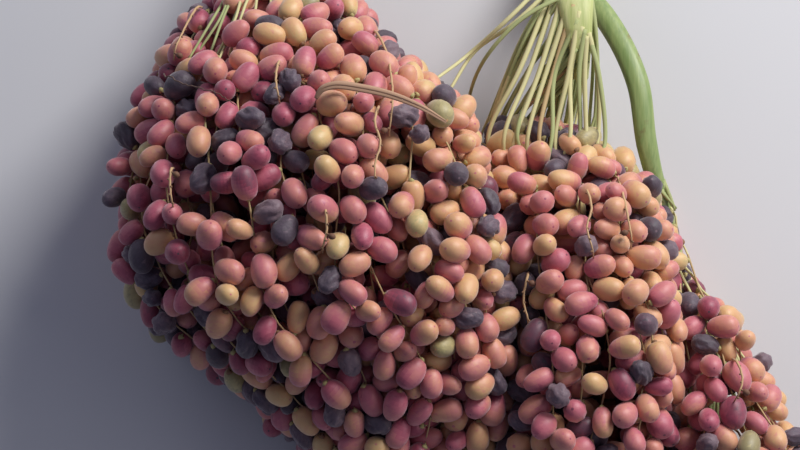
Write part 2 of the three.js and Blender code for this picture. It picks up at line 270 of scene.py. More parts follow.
@dataclass(frozen=True)
class WaxySkin:
    """The finish of a date's skin: a satin wax with a faint dusty bloom."""

    name: str
    colour: Rgba
    roughness: float = 0.44
    patchiness: float = 0.24
    patches_to_metre: float = 130.0
    sheen: float = 0.4
    sheen_roughness: float = 0.5
    sheen_tint: Rgba = (1.0, 0.94, 0.97, 1.0)
    gloss: float = 0.9
    grains_to_metre: float = 420.0
    grain_depth: float = 0.0005
    grain_strength: float = 0.35

    def build(self) -> Material:
        """Make the material.

        Returns:
            The finished material.
        """
        graph = Graph(self.name)
        patches = graph.noise(self.patches_to_metre, 3.0)
        grain = graph.bump(graph.noise(self.grains_to_metre, 4.0), self.grain_strength, self.grain_depth)
        graph.surface(
            Base_Color=self.colour,
            Roughness=self.roughness + self.patchiness * patches,
            Normal=grain,
            Sheen_Weight=self.sheen,
            Sheen_Roughness=self.sheen_roughness,
            Sheen_Tint=self.sheen_tint,
            Specular_IOR_Level=self.gloss,
        )
        return graph.material


@dataclass(frozen=True)
class RaisinSkin(WaxySkin):
    """The finish of a dark ripe date: duller, with a coarse wrinkled grain."""

    roughness: float = 0.54
    sheen: float = 0.32
    grains_to_metre: float = 190.0
    grain_depth: float = 0.0034


@dataclass(frozen=True)
class PlainFibre:
    """The finish of strands, calyxes and dry scraps: matt plant fibre."""

    name: str
    colour: Rgba
    roughness: float = 0.6
    unevenness: float = 0.2
    fibres_to_metre: float = 400.0
    sheen: float = 0.08

    def build(self) -> Material:
        """Make the material.

        Returns:
            The finished material.
        """
        graph = Graph(self.name)
        graph.surface(
            Base_Color=self.colour,
            Roughness=self.roughness + self.unevenness * graph.noise(self.fibres_to_metre),
            Sheen_Weight=self.sheen,
        )
        return graph.material


@dataclass(frozen=True)
class StalkRind:
    """The finish of a stalk: smooth rind in two greens, streaked along its length."""

    name: str
    ground: Rgb
    streak: Rgb
    blemish: Rgb = (120, 96, 62)
    roughness: float = 0.42
    unevenness: float = 0.2
    streaks_to_metre: float = 14.0
    streak_stretch: Triple = (9.0, 0.7, 9.0)
    streak_limits: Pair = (0.38, 0.62)
    fibres_to_metre: float = 60.0
    fibre_stretch: Triple = (8.0, 0.6, 8.0)
    fibre_share: float = 0.4
    spots_to_metre: float = 55.0
    blemish_limits: Pair = (0.62, 0.74)
    blemish_share: float = 0.7
    relief_strength: float = 0.35
    relief_depth: float = 0.0006
    sheen: float = 0.05

    def build(self) -> Material:
        """Make the material.

        Returns:
            The finished material.
        """
        graph = Graph(self.name)
        streaks = graph.noise(self.streaks_to_metre, 4.0, self.streak_stretch)
        fine = graph.noise(self.fibres_to_metre, 3.0, self.fibre_stretch)
        spots = graph.noise(self.spots_to_metre, 5.0)
        mixed = (1 - self.fibre_share) * streaks + self.fibre_share * fine
        share = graph.between(mixed, *self.streak_limits)
        rind = graph.blend(share, linear(self.ground), linear(self.streak))
        marks = graph.between(spots, *self.blemish_limits, self.blemish_share)
        graph.surface(
            Base_Color=graph.blend(marks, rind, linear(self.blemish)),
            Roughness=self.roughness + self.unevenness * fine,
            Normal=graph.bump(fine, self.relief_strength, self.relief_depth),
            Sheen_Weight=self.sheen,
        )
        return graph.material


class Skins:
    """The plain tones that dates are dealt, and the finishes of the small parts."""

    STEPS_BETWEEN_KEYS = 4

    def __init__(self) -> None:
        """Make every tone, blended between the key colours."""
        keys = np.array([tone.value for tone in Tone], float)
        self.tones = (len(keys) - 1) * self.STEPS_BETWEEN_KEYS + 1
        at = np.linspace(0, len(keys) - 1, self.tones)
        ramp = np.stack([np.interp(at, np.arange(len(keys)), keys[:, c]) for c in range(3)], axis=1)
        wrinkled_from = self.index(Tone.PLUM)
        self.materials: list[Material] = []
        for step, rgb in enumerate(ramp):
            finish = RaisinSkin if step >= wrinkled_from else WaxySkin
            self.materials.append(finish(f"date_skin_{step:02d}", linear(rgb)).build())
        self.part_index: dict[Part, int] = {}
        for part in Part:
            self.part_index[part] = len(self.materials)
            self.materials.append(PlainFibre(part.name.lower(), linear(part.value)).build())

    def index(self, tone: Tone) -> int:
        """The number of a key tone among the materials."""
        return list(Tone).index(tone) * self.STEPS_BETWEEN_KEYS


# Meshes and lines


class MeshBuffer:
    """Vertices and triangles gathered from many small things, then written as one mesh."""

    def __init__(self) -> None:
        """Start empty."""
        self.points: list[Array] = []
        self.faces: list[Array] = []
        self.slots: list[Array] = []
        self.total = 0

    def add(self, points: Array, faces: Array, slots: Array | int) -> None:
        """Add a batch of like shapes.

        Args:
            points: vertices in millimetres, as (things, vertices, 3).
            faces: triangles of one thing, as (triangles, 3).
            slots: material numbers, one for all or as (things, triangles).
        """
        things, count = points.shape[:2]
        offsets = self.total + np.arange(things)[:, None, None] * count
        self.points.append(points.reshape(-1, 3))
        self.faces.append((faces[None] + offsets).reshape(-1, 3))
        self.slots.append(np.broadcast_to(slots, (things, len(faces))).reshape(-1))
        self.total += things * count

    @property
    def triangles(self) -> int:
        """How many triangles have been gathered."""
        return sum(len(f) for f in self.faces)

    def write(self, name: str, materials: Sequence[Material]) -> bpy.types.Object:
        """Write the gathered mesh as one object that keeps only the materials it uses.

        Args:
            name: the piece's name.
            materials: the materials that the slots number.

        Returns:
            The new object, linked to the scene.
        """
        points = np.concatenate(self.points) * METRES
        faces = np.concatenate(self.faces).astype(np.int32)
        slots = np.concatenate(self.slots)
        used, local = np.unique(slots, return_inverse=True)
        mesh = bpy.data.meshes.new(name)
        mesh.vertices.add(len(points))
        mesh.vertices.foreach_set("co", points.astype(np.float32).ravel())
        mesh.loops.add(faces.size)
        mesh.loops.foreach_set("vertex_index", faces.ravel())
        mesh.polygons.add(len(faces))
        mesh.polygons.foreach_set("loop_start", np.arange(0, faces.size, 3, dtype=np.int32))
        for number in used:
            mesh.materials.append(materials[number])
        mesh.polygons.foreach_set("material_index", local.astype(np.int32).ravel())
        mesh.polygons.foreach_set("use_smooth", np.ones(len(faces), bool))
        mesh.update(calc_edges=True)
        piece = bpy.data.objects.new(name, mesh)
        bpy.context.scene.collection.objects.link(piece)
        return piece

    def hand_over(self, skins: Skins, name: str, node: str, slot: str) -> None:
        """Write one piece, hide the solid that it dresses, tie it to its body, and report it.

        Args:
            skins: the finishes that the slots number.
            name: the piece's name.
            node: the solid that the piece dresses.
            slot: not used.
        """
        piece = self.write(name, skins.materials)
        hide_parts(node)
        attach(piece, ROOT_BODY)
        LOG.info("%s: %d triangles", name, self.triangles)


def unit(vectors: Array) -> Array:
    """Scale vectors to length one, leaving zero vectors alone."""
    lengths = np.linalg.norm(vectors, axis=-1, keepdims=True)
    return vectors / np.maximum(lengths, 1e-9)


def hermite(t: Array, start: Array, end: Array, leaving: Array,
            arriving: Array) -> Array:
    """Values on a smooth step between two known ones.

    Args:
        t: how far along the step each value lies, from 0 to 1.
        start: the value at the start.
        end: the value at the end.
        leaving: the slope at the start, over the whole step.
        arriving: the slope at the end, over the whole step.

    Returns:
        One value for each t.
    """
    return ((2 * t**3 - 3 * t**2 + 1) * start + (t**3 - 2 * t**2 + t) * leaving
            + (3 * t**2 - 2 * t**3) * end + (t**3 - t**2) * arriving)


def catmull(route: Array, ts: Array) -> Array:
    """Points on the centripetal curve through a route, as the solids' limbs follow it.

    Args:
        route: the points that the curve passes, as (n, 3).
        ts: places along it, from 0 to 1.

    Returns:
        One point for each place.
    """
    ends = np.vstack([2 * route[0] - route[1], route, 2 * route[-1] - route[-2]])
    last = len(route) - 1
    at = np.clip(ts, 0, 1) * last
    i = np.minimum(at.astype(int), last - 1)
    t = (at - i)[:, None]
    p0, p1, p2, p3 = ends[i], ends[i + 1], ends[i + 2], ends[i + 3]
    pairs = ((p0, p1), (p1, p2), (p2, p3))
    d0, d1, d2 = (np.sqrt(np.linalg.norm(b - a, axis=1))[:, None] for a, b in pairs)
    m1 = ((p1 - p0) / d0 - (p2 - p0) / (d0 + d1) + (p2 - p1) / d1) * d1
    m2 = ((p2 - p1) / d1 - (p3 - p1) / (d1 + d2) + (p3 - p2) / d2) * d1
    return hermite(t, p1, p2, m1, m2)


def soften(line: Array, rounds: int) -> Array:
    """Round off a line's kinks, its two ends held.

    Args:
        line: the points, moved in place.
        rounds: how many times each point moves towards its neighbours.

    Returns:
        The same line.
    """
    for _ in range(rounds):
        line[1:-1] = (line[:-2] + 2 * line[1:-1] + line[2:]) / 4
    return line


def lengths_along(line: Array) -> Array:
    """How far each point of a line lies from its start, along it."""
    return np.concatenate([[0], np.cumsum(np.linalg.norm(np.diff(line, axis=0), axis=1))])


def points_at(at: Array, lengths: Array, line: Array) -> Array:
    """The points at some lengths along a line."""
    return np.stack([np.interp(at, lengths, line[:, c]) for c in range(3)], axis=1)


# The space that each bunch fills


@dataclass
class Section:
    """One or many cross-sections of a bunch: edges, crest, and how free each side is."""

    left: Array
    right: Array
    crest: Array
    free_left: Array
    free_right: Array

    @property
    def middle(self) -> Array:
        """Halfway between the edges."""
        return (self.left + self.right) / 2

    @property
    def half(self) -> Array:
        """Half the width."""
        return (self.right - self.left) / 2

    def free(self, is_left: Array) -> Array:
        """How free one side or the other is."""
        return np.where(is_left, self.free_left, self.free_right)


@dataclass
class Heap:
    """The space that one bunch fills, by the same stations and rule as its solids."""

    name: str
    hanks: int
    fan_foot: float
    stations: Sequence[Sequence[float]]
    left_neighbour: "Heap | None" = None
    right_neighbour: "Heap | None" = None
    waist: float = 0.3
    pressed_waist: float = 0.62
    foot: float = 0.75
    foot_power: float = 1.5
    shoulder_power: float = 2.6
    bunch_gap: float = 0.8
    full_side: float = 21.6
    end_round: float = 20.0
    bluntness: float = 0.06
    end_share: float = 0.6
    least_half: float = 2.0
    least_crest: float = 8.0
    least_hip: float = 4.0
    core_height: float = 0.45
    corner_slack: float = 0.8
    shoulder_points: int = 24
    side_points: int = 12
    pressed_inset: float = 15.0
    flank_start: float = -130.0
    flank_width: float = 110.0
    parting: tuple[float, float, float, float] | None = None

    def __post_init__(self) -> None:
        """Turn the stations into slopes that the smooth values need."""
        self.table = np.array(self.stations, float)
        ys = self.table[:, 0]
        before = np.maximum(np.arange(len(ys)) - 1, 0)
        after = np.minimum(np.arange(len(ys)) + 1, len(ys) - 1)
        self.slopes = (self.table[after] - self.table[before]) / (ys[after] - ys[before])[:, None]
        self.start = float(ys[0])
        self.end = float(ys[-1])
        if self.left_neighbour:
            self.left_neighbour.right_neighbour = self

    def smooth(self, column: int, y: Array) -> Array:
        """A column's smooth value between stations.

        Args:
            column: which column of the stations.
            y: places along the bunch.

        Returns:
            One value for each place.
        """
        ys = self.table[:, 0]
        i = np.clip(len(ys) - 1 - np.searchsorted(ys[::-1], y, side="left"), 0, len(ys) - 2)
        span = ys[i + 1] - ys[i]
        t = np.clip((y - ys[i]) / span, 0, 1)
        p0, p1 = self.table[i, column], self.table[i + 1, column]
        m0, m1 = self.slopes[i, column] * span, self.slopes[i + 1, column] * span
        return hermite(t, p0, p1, m0, m1)

    def edges(self, y: Array) -> tuple[Array, Array]:
        """The outer edges, where a bunch that meets its left neighbour stops against it.

        Args:
            y: places along the bunch.

        Returns:
            The left and the right edge at each place.
        """
        left, right = self.smooth(1, y), self.smooth(2, y)
        beside = self.left_neighbour
        if beside:
            meets = (y <= beside.start) & (y >= beside.end)
            left = np.where(meets, np.maximum(left, beside.edges(y)[1] + self.bunch_gap), left)
        return left, right

    def freedom(self, y: Array, neighbour: "Heap | None", room: Array) -> Array:
        """How free a side is.

        Args:
            y: places along the bunch.
            neighbour: the bunch on that side, if there is one.
            room: the width of the space between the two at each place.

        Returns:
            A share for each place, from 0 where the side presses on its neighbour to 1.
        """
        if neighbour is None:
            return np.ones_like(y)
        meets = (y <= neighbour.start) & (y >= neighbour.end)
        return np.where(meets, np.clip(room / self.full_side, 0, 1), 1.0)

    def section(self, y: Array, inset: Array | float = 0.0) -> Section:
        """The cross-sections, rounded off towards both ends of the bunch.

        Args:
            y: places along the bunch.
            inset: how far each section is drawn in from the skin.

        Returns:
            One section for each place.
        """
        left, right = self.edges(y)
        beside, beyond = self.left_neighbour, self.right_neighbour
        room_left = left - beside.edges(y)[1] - self.bunch_gap if beside else np.zeros_like(y)
        room_right = beyond.edges(y)[0] - right - self.bunch_gap if beyond else np.zeros_like(y)
        nearest = np.minimum(self.start - y, y - self.end)
        t = np.clip(nearest / self.end_round, self.bluntness, 1)
        close = self.end_share + (1 - self.end_share) * np.sqrt(1 - (1 - t) ** 2)
        middle, half = (left + right) / 2, (right - left) / 2
        half = np.maximum(half * close - inset, self.least_half)
        crest = np.maximum(self.smooth(3, y) * close - inset, self.least_crest)
        return Section(middle - half, middle + half, crest,
                       self.freedom(y, beside, room_left), self.freedom(y, beyond, room_right))

    def top(self, x: Array, y: Array, inset: float = 0.0) -> Array:
        """The height of the upper skin.

        Args:
            x: places across the bunch.
            y: places along it.
            inset: how far under the skin the height is taken.

        Returns:
            One height for each place.
        """
        cut = self.section(y, inset)
        aside = np.minimum(np.abs(x - cut.middle) / cut.half, 1) ** self.shoulder_power
        rise = (1 - aside) ** (1 / self.shoulder_power)
        waist = self.waist_at(cut, x < cut.middle)
        return cut.crest * (waist + (1 - waist) * rise)

    def skin_under(self, x: Array, y: Array) -> Array:
        """The height of the upper skin, or none beside the bunch.

        Args:
            x: places across the bunch.
            y: places along it.

        Returns:
            One height for each place, 0 where the bunch isn't.
        """
        within = np.clip(y, self.end, self.start)
        left, right = self.edges(within)
        covered = (y == within) & (x > left) & (x < right)
        return np.where(covered, self.top(x, within), 0)

    def waist_at(self, cut: Section, is_left: Array) -> Array:
        """The waist's share of the crest on one side or the other."""
        return self.pressed_waist + (self.waist - self.pressed_waist) * cut.free(is_left)

    def outline(self, y: float, inset: float, points: int) -> Array:
        """A closed line round one section, evenly spaced, starting under its middle.

        Args:
            y: where the section is cut.
            inset: how far inside the skin the line runs.
            points: how many points it has.

        Returns:
            Points as (points, 3), anticlockwise as seen from the tips.
        """
        cut = self.section(np.array([y], float))
        middle, widest = cut.middle[0], cut.half[0]
        inset = min(inset, widest / 2, cut.crest[0] / 2)
        crest = cut.crest[0] - inset
        turn = np.linspace(0, math.pi / 2, self.shoulder_points)
        drop = np.linspace(0, 1, self.side_points)
        sides = []
        for sign in (1, -1):
            is_left = np.array([sign < 0])
            waist = float(self.waist_at(cut, is_left)[0])
            free = float(cut.free(is_left)[0])
            half = widest - inset * free - min(inset, self.pressed_inset) * (1 - free)
            hip = max(crest * waist, inset + self.least_hip)
            bulge = self.foot + (1 - self.foot) * drop ** (1 / self.foot_power)
            low_x = np.concatenate([[0, 0.5], bulge * free + (1 - free)])
            low_z = np.concatenate([[0, 0], drop]) * (hip - inset) + inset
            high_x = np.cos(turn) ** (2 / self.shoulder_power)
            high_z = hip + (crest - hip) * np.sin(turn) ** (2 / self.shoulder_power)
            side = np.stack([middle + sign * half * np.concatenate([low_x, high_x]),
                             np.full(len(low_x) + len(high_x), y),
                             np.concatenate([low_z, high_z])], axis=1)
            sides.append(side)
        line = np.vstack([sides[0], sides[1][::-1]])
        lengths = lengths_along(line)
        return points_at(np.linspace(0, lengths[-1], points, endpoint=False), lengths, line)

    def hold_in(self, points: Array, radius: Array, dip: Array) -> Array:
        """Move balls that stray outside the bunch back to its skin.

        Args:
            points: the balls' centres in millimetres.
            radius: their radii.
            dip: how much deeper under the skin each has to stay.

        Returns:
            The corrected centres.
        """
        margin = radius + dip
        y = np.clip(points[:, 1], self.end + radius, self.start - radius)
        cut = self.section(y, margin)
        x, z = points[:, 0] - cut.middle, np.maximum(points[:, 2], radius)
        is_left = x < 0
        free = cut.free(is_left)
        hip = cut.crest * self.waist_at(cut, is_left)
        slack = cut.half + (1 - free) * margin * self.corner_slack
        over = np.maximum(z - hip, 0) / np.maximum(cut.crest - hip, 1)
        out = (np.abs(x) / slack) ** self.shoulder_power + over**self.shoulder_power
        back = np.maximum(out, 1) ** (-1 / self.shoulder_power)
        lift = np.clip(z / np.maximum(hip, 1), 0, 1) ** (1 / self.foot_power)
        widest = slack * (free * (self.foot + (1 - self.foot) * lift) + (1 - free))
        x_high, z_high = x * back, hip + (z - hip) * back
        x_low = np.clip(x, -widest, widest)
        high = z > hip
        held_x = cut.middle + np.where(high, x_high, x_low)
        return np.stack([held_x, y, np.where(high, z_high, z)], axis=1)

    def parted(self, points: Array) -> Array:
        """Find what lies in the gap between the upper dates through which the strands show.

        Args:
            points: places in the bunch.

        Returns:
            Whether each lies in the gap.
        """
        if self.parting is None:
            return np.zeros(len(points), bool)
        x, y, half_x, half_y = self.parting
        upper = points[:, 2] > self.section(points[:, 1]).crest * self.core_height
        return upper & (((points[:, 0] - x) / half_x) ** 2 + ((points[:, 1] - y) / half_y) ** 2 < 1)

    def flank(self, x: Array) -> Array:
        """How far places lie onto the flank that the first bunch turns to the light.

        Args:
            x: places across the bunch.

        Returns:
            A share for each, from 0 to 1.
        """
        if self.left_neighbour:
            return np.zeros_like(x)
        return np.clip((x - self.flank_start) / self.flank_width, 0, 1)

    def hank_of(self, x: Array) -> Array:
        """The number of the hank whose lane holds each x, where the lanes hang straight."""
        left, right = self.edges(np.array([self.fan_foot]))
        return np.clip(((x - left[0]) / (right[0] - left[0]) * self.hanks).astype(int), 0, self.hanks - 1)


# The stalks


@dataclass
class Stalk:
    """A flattened stalk from its cut end to the tip that the strands leave."""

    name: str
    route: Sequence[Sequence[float]]
    rachis: Pair
    rind: StalkRind
    slot: str
    sides: int = 32
    rings: int = 110
    body: float = 0.985
    groove: float = 0.018
    rib_share: float = 0.8
    knob: float = 0.07
    knobs: int = 14
    last_knob: float = 0.97
    knob_length: float = 0.012
    knob_girth: float = 0.5
    look_ahead: float = 0.01
    off_floor: float = 0.2
    cut_shares: tuple[float, ...] = (0.96, 0.8, 0.55, 0.28)
    cut_hollow: float = 1.2
    cut_roughness: float = 0.45
    pith: Rgb = (206, 186, 138)
    pith_streak: Rgb = (176, 146, 96)
    tip: Sequence[Pair] = ((0.85, 2.0), (0.6, 5.0), (0.3, 8.0))

    def __post_init__(self) -> None:
        """Split the route into its line, widths and thicknesses."""
        table = np.array(self.route, float)
        self.line = table[:, :3]
        self.widths, self.thicknesses = table[:, 3], table[:, 4]

    def at(self, ts: Array) -> tuple[Array, Array, Array]:
        """Find the stalk's middle line and size.

        Args:
            ts: places along it, from 0 at the cut end to 1.

        Returns:
            The point, the width and the thickness at each place.
        """
        steps = np.linspace(0, 1, len(self.widths))
        width = np.interp(ts, steps, self.widths)
        return catmull(self.line, ts), width, np.interp(ts, steps, self.thicknesses)

    def frames(self, ts: Array) -> tuple[Array, Array, Array]:
        """Find which way the stalk faces.

        Args:
            ts: places along it, from 0 to 1.

        Returns:
            The directions along, across and over the stalk at each place.
        """
        behind = catmull(self.line, np.maximum(ts - self.look_ahead, 0))
        ahead = unit(catmull(self.line, ts + self.look_ahead) - behind)
        across = unit(np.cross(ahead, (0.0, 0.0, 1.0)))
        return ahead, across, unit(np.cross(across, ahead))

    def build(self, rng: Rng) -> bpy.types.Object:
        """Make the stalk with its ribs, leaf-side scars and fibrous cut face.

        Args:
            rng: the source of its unevenness.

        Returns:
            The dressed piece.
        """
        ts = np.linspace(0, 1, self.rings)
        middle, width, thick = self.at(ts)
        ahead, across, over = self.frames(ts)
        turn = np.linspace(0, 2 * math.pi, self.sides, endpoint=False)
        size = self.body + self._ribs(ts, turn) * self.rib_share + self._knobs(ts, turn, rng)
        lift_x = (np.cos(turn) * size) * width[:, None] / 2
        lift_z = (np.sin(turn) * size) * thick[:, None] / 2
        skin = middle[:, None] + across[:, None] * lift_x[..., None] + over[:, None] * lift_z[..., None]
        face = self._cut_face(skin[0], middle[0], ahead[0], rng)
        rim = skin[-1] - middle[-1]
        tip = np.array([middle[-1] + rim * share + ahead[-1] * reach for share, reach in self.tip])
        rings = np.concatenate([face[::-1], skin, tip])
        ends = np.stack([rings[0].mean(axis=0), tip[-1].mean(axis=0) + ahead[-1]])
        points = np.concatenate([rings.reshape(-1, 3), ends])
        points[:, 2] = np.maximum(points[:, 2], self.off_floor)
        faces = tube_faces(self.sides, len(rings))[:, ::-1]
        cut = np.arange(len(faces)) < self.sides * 2 * len(face)
        buffer = MeshBuffer()
        buffer.add(points[None], faces, np.where(cut, 1, 0)[None])
        pith = StalkRind(f"{self.name}_pith", self.pith, self.pith_streak, roughness=0.75)
        piece = buffer.write(f"{self.name}_rind", [self.rind.build(), pith.build()])
        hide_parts(self.name)
        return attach(piece, ROOT_BODY)

    def _ribs(self, ts: Array, turn: Array) -> Array:
        """Shape the rind's ribs, wide and narrow ones that wander round the stalk.

        Args:
            ts: places along the stalk.
            turn: angles round it.

        Returns:
            How far the rind stands out, as a share of its size.
        """
        along = ts[:, None]
        wide = self.groove * np.sin(9 * turn + 2 * np.sin(5 * along) + 0.7)
        return wide + 0.6 * self.groove * np.sin(17 * turn + 1.3 + 3 * along)

    def _knobs(self, ts: Array, turn: Array, rng: Rng) -> Array:
        """Shape the low knobs that strands leave.

        Args:
            ts: places along the stalk.
            turn: angles round it.
            rng: the source of their places round the stalk.

        Returns:
            How far the rind stands out, as a share of its size.
        """
        knobs = np.zeros((len(ts), len(turn)))
        for place in np.linspace(self.rachis[0], self.last_knob, self.knobs):
            side = rng.uniform(0, 2 * math.pi)
            far = np.angle(np.exp(1j * (turn - side)))
            along = (ts[:, None] - place) / self.knob_length
            knobs += self.knob * np.exp(-along**2 - (far / self.knob_girth) ** 2)
        return knobs

    def _cut_face(self, rim: Array, middle: Array, ahead: Array,
                  rng: Rng) -> Array:
        """Make the rings that close the cut end, a little hollow and rough.

        Args:
            rim: the skin's first ring.
            middle: the middle of that ring.
            ahead: the direction along the stalk there.
            rng: the source of the roughness.

        Returns:
            The rings, from the rim inwards.
        """
        rings = []
        for share in self.cut_shares:
            rough = rng.normal(0, self.cut_roughness, len(rim))[:, None]
            sunk = ahead * (self.cut_hollow * (1 - share) + rough)
            rings.append(middle + (rim - middle) * share + sunk)
        return np.array(rings)


def tube_faces(sides: int, rings: int) -> Array:
    """Triangles of a closed tube whose two end points follow its rings.

    Args:
        sides: points round each ring.
        rings: how many rings there are.

    Returns:
        Triangles, the first end's among the first of them.
    """
    i = np.arange(sides)
    j = (i + 1) % sides
    first, last = sides * rings, sides * rings + 1
    start = np.stack([np.full(sides, first), j, i], axis=1)
    bands = []
    for r in range(rings - 1):
        a, b = r * sides + i, r * sides + j
        bands.append(np.stack([a, b, b + sides], axis=1))
        bands.append(np.stack([a, b + sides, a + sides], axis=1))
    top = (rings - 1) * sides
    finish = np.stack([top + i, top + j, np.full(sides, last)], axis=1)
    return np.concatenate([start, *bands, finish])


def close_pairs(points: Array, reach: float) -> tuple[Array, Array]:
    """Every pair of points nearer than a reach, found through a grid.

    Args:
        points: places, as (n, 3).
        reach: the farthest that a pair lies apart.

    Returns:
        The two members of each pair.
    """
    cells = np.floor(points / reach).astype(np.int64)
    cells -= cells.min(axis=0) - 1
    spans = cells.max(axis=0) + 2
    keys = (cells[:, 0] * spans[1] + cells[:, 1]) * spans[2] + cells[:, 2]
    order = np.argsort(keys, kind="stable")
    ranked = keys[order]
    firsts, seconds = [], []
    for dx, dy, dz in neighbour_cells():
        wanted = keys + (dx * spans[1] + dy) * spans[2] + dz
        low = np.searchsorted(ranked, wanted, "left")
        count = np.searchsorted(ranked, wanted, "right") - low
        first = np.repeat(np.arange(len(points)), count)
        step = np.arange(len(first)) - np.repeat(np.cumsum(count) - count, count)
        second = order[np.repeat(low, count) + step]
        if (dx, dy, dz) == (0, 0, 0):
            first, second = first[first < second], second[first < second]
        firsts.append(first)
        seconds.append(second)
    one, two = np.concatenate(firsts), np.concatenate(seconds)
    near = np.linalg.norm(points[one] - points[two], axis=1) < reach
    return one[near], two[near]


def neighbour_cells() -> Iterator[Rgb]:
    """List a cell itself and the half of its neighbours that counts each pair once.

    Returns:
        The steps to those cells, one after another.
    """
    for dx in (-1, 0, 1):
        for dy in (-1, 0, 1):
            for dz in (-1, 0, 1):
                if (dx, dy, dz) >= (0, 0, 0):
                    yield dx, dy, dz


# The strands and the dates that hang on them


@dataclass
class Strand:
    """One fruiting strand: its bare way from the stalk, then the nodes that bear dates."""

    heap: Heap
    hank: int
    depth: float
    bare: Array
    companions: list[Array]
    nodes: Array
    outward: Array
    dips: Array
    withering: float


@dataclass
class StrandPlan:
    """How strands are laid over a bunch: rings of them at depths under the skin."""

    depths: tuple[float, ...] = (33.0, 64.0, 98.0, 134.0)
    spacings: tuple[float, ...] = (50.0, 58.0, 68.0, 78.0)
    counted_at: float = 0.4
    pitch: float = 19.0
    across_points: int = 240
    along_step: float = 5.0
    fewest_steps: int = 8
    fewest_pitches: int = 3
    end_margin: float = 14.0
    margin_growth: float = 0.6
    crest_room: float = 16.0
    width_room: float = 26.0
    ring_shift: float = 0.37
    rank_slack: float = 1.03
    wander: float = 0.2
    latest_start: float = 0.6
    uneven_pitch: float = 0.12
    wave_lengths: Pair = (28.0, 60.0)
    core_pull: float = 0.35
    sway: float = 9.0
    off_floor: float = 4.0
    deepest_dip: float = 20.0
    dip_wave: float = 7.0
    dip_share: float = 0.8
    short_bunch: float = 60.0
    bare_share: float = 0.04
    longest_bare: int = 2
    companions: int = 1
    companions_drawn: float = 0.5
    companions_stray: float = 7.0
    drawn_in: float = 0.85
    drawn_across: float = 0.6
    steps_to_depth: int = 14
    entry: float = 29.0
    fanning: float = 1.5
    edge_room: float = 14.0
    kink_rounds: int = 8
    kept_points: int = 3
    lead_step: float = 7.0
    bow_at: float = 0.45
    arch_sides: Pair = (0.03, 0.05)
    arch_rise: Pair = (0.02, 0.14)
    root_spread: Pair = (0.7, 1.3)
    root_turn: Pair = (-25.0, 100.0)
    withered_strands: float = 0.15
    much_withering: float = 0.5
    little_withering: float = 0.06

    def lay(self, heap: Heap, stalk: Stalk, rng: Rng) -> list[Strand]:
        """Lay the strands of one bunch.

        Args:
            heap: the bunch's space.
            stalk: the stalk that bears them.
            rng: the source of their unevenness.

        Returns:
            The strands, outer ones first.
        """
        strands = []
        for ring, (depth, spacing) in enumerate(zip(self.depths, self.spacings)):
            margin = self.end_margin + self.margin_growth * (depth - self.depths[0])
            ys = np.arange(heap.start - margin, heap.end + margin, -self.along_step)
            cut = heap.section(ys)
            high = cut.crest > depth + self.crest_room
            wide = cut.right - cut.left > 2 * depth + self.width_room
            ys = ys[high & wide | (ring == 0)]
            if len(ys) < self.fewest_steps:
                continue
            grid = np.stack([heap.outline(y, depth, self.across_points) for y in ys])
            skin = np.stack([heap.outline(y, depth * self.counted_at, self.across_points) for y in ys])
            girth = np.linalg.norm(np.diff(skin, axis=1), axis=2).sum(axis=1)
            count = int(girth.max() / spacing)
            for number in range(count):
                share = (number + 0.5 * ring + rng.uniform(-self.wander, self.wander)) / count
                column = share % 1 * self.across_points
                line = self._meridian(grid, column)
                rank = (number * GOLDEN + self.ring_shift * ring) % 1
                alive = rank < girth / girth.max() * self.rank_slack
                if alive.sum() * self.along_step < self.fewest_pitches * self.pitch:
                    continue
                strands.append(self._strand(heap, stalk, line, alive, depth, rng))
        return strands

    def _meridian(self, grid: Array, column: float) -> Array:
        """The line down the bunch at one place round its outline.

        Args:
            grid: the outlines, as (steps along the bunch, points round it, 3).
            column: the place, counted in points round the outline.

        Returns:
            One point for each step along the bunch.
        """
        low = int(column) % self.across_points
        high = (low + 1) % self.across_points
        t = column - int(column)
        return grid[:, low] * (1 - t) + grid[:, high] * t

    def _strand(self, heap: Heap, stalk: Stalk, line: Array, alive: Array, depth: float,
                rng: Rng) -> Strand:
        """Cut a meridian into a bare lead and evenly spaced nodes.

        Args:
            heap: the bunch's space.
            stalk: the stalk that bears the strand.
            line: the meridian.
            alive: which of its points the strand follows.
            depth: how deep under the skin it runs.
            rng: the source of its unevenness.

        Returns:
            The strand.
        """
        first, last = np.flatnonzero(alive)[[0, -1]]
        at, nodes = self._spaced(heap, line[first:last + 1], rng)
        nodes, outward, dips = self._swayed(heap, at, nodes, rng)
        lane_y = max(heap.fan_foot, heap.end + self.short_bunch)
        lane_x = line[int(np.argmin(np.abs(line[:, 1] - lane_y))), :1]
        hank = int(heap.hank_of(lane_x)[0])
        bare = self._lead(heap, stalk, line[:first + 1], rng)
        top = heap.section(line[:4, 1])
        core_top = np.column_stack([top.middle, line[:4, 1], top.crest * heap.core_height])
        near = line[:4] + self.companions_drawn * (core_top - line[:4])
        beside = [self._lead(heap, stalk, near + rng.normal(0, self.companions_stray, 3), rng)
                  for _ in range(self.companions)]
        much = rng.random() < self.withered_strands
        withering = self.much_withering if much else self.little_withering
        return Strand(heap, hank, depth, bare, beside, nodes, outward, dips, withering)

    def _spaced(self, heap: Heap, line: Array,
                rng: Rng) -> tuple[Array, Array]:
        """Space the nodes that still bear dates along a line.

        Args:
            heap: the bunch's space.
            line: the line.
            rng: the source of the unevenness.

        Returns:
            Each node's length along the line, and its place.
        """
        lengths = lengths_along(line)
        at = np.arange(rng.uniform(0, self.latest_start) * self.pitch, lengths[-1], self.pitch)
        at = at + rng.uniform(-self.uneven_pitch, self.uneven_pitch, len(at)) * self.pitch
        at = at[self._bearing(len(at), rng)]
        nodes = points_at(at, lengths, line)
        bears = ~heap.parted(nodes)
        return at[bears], nodes[bears]

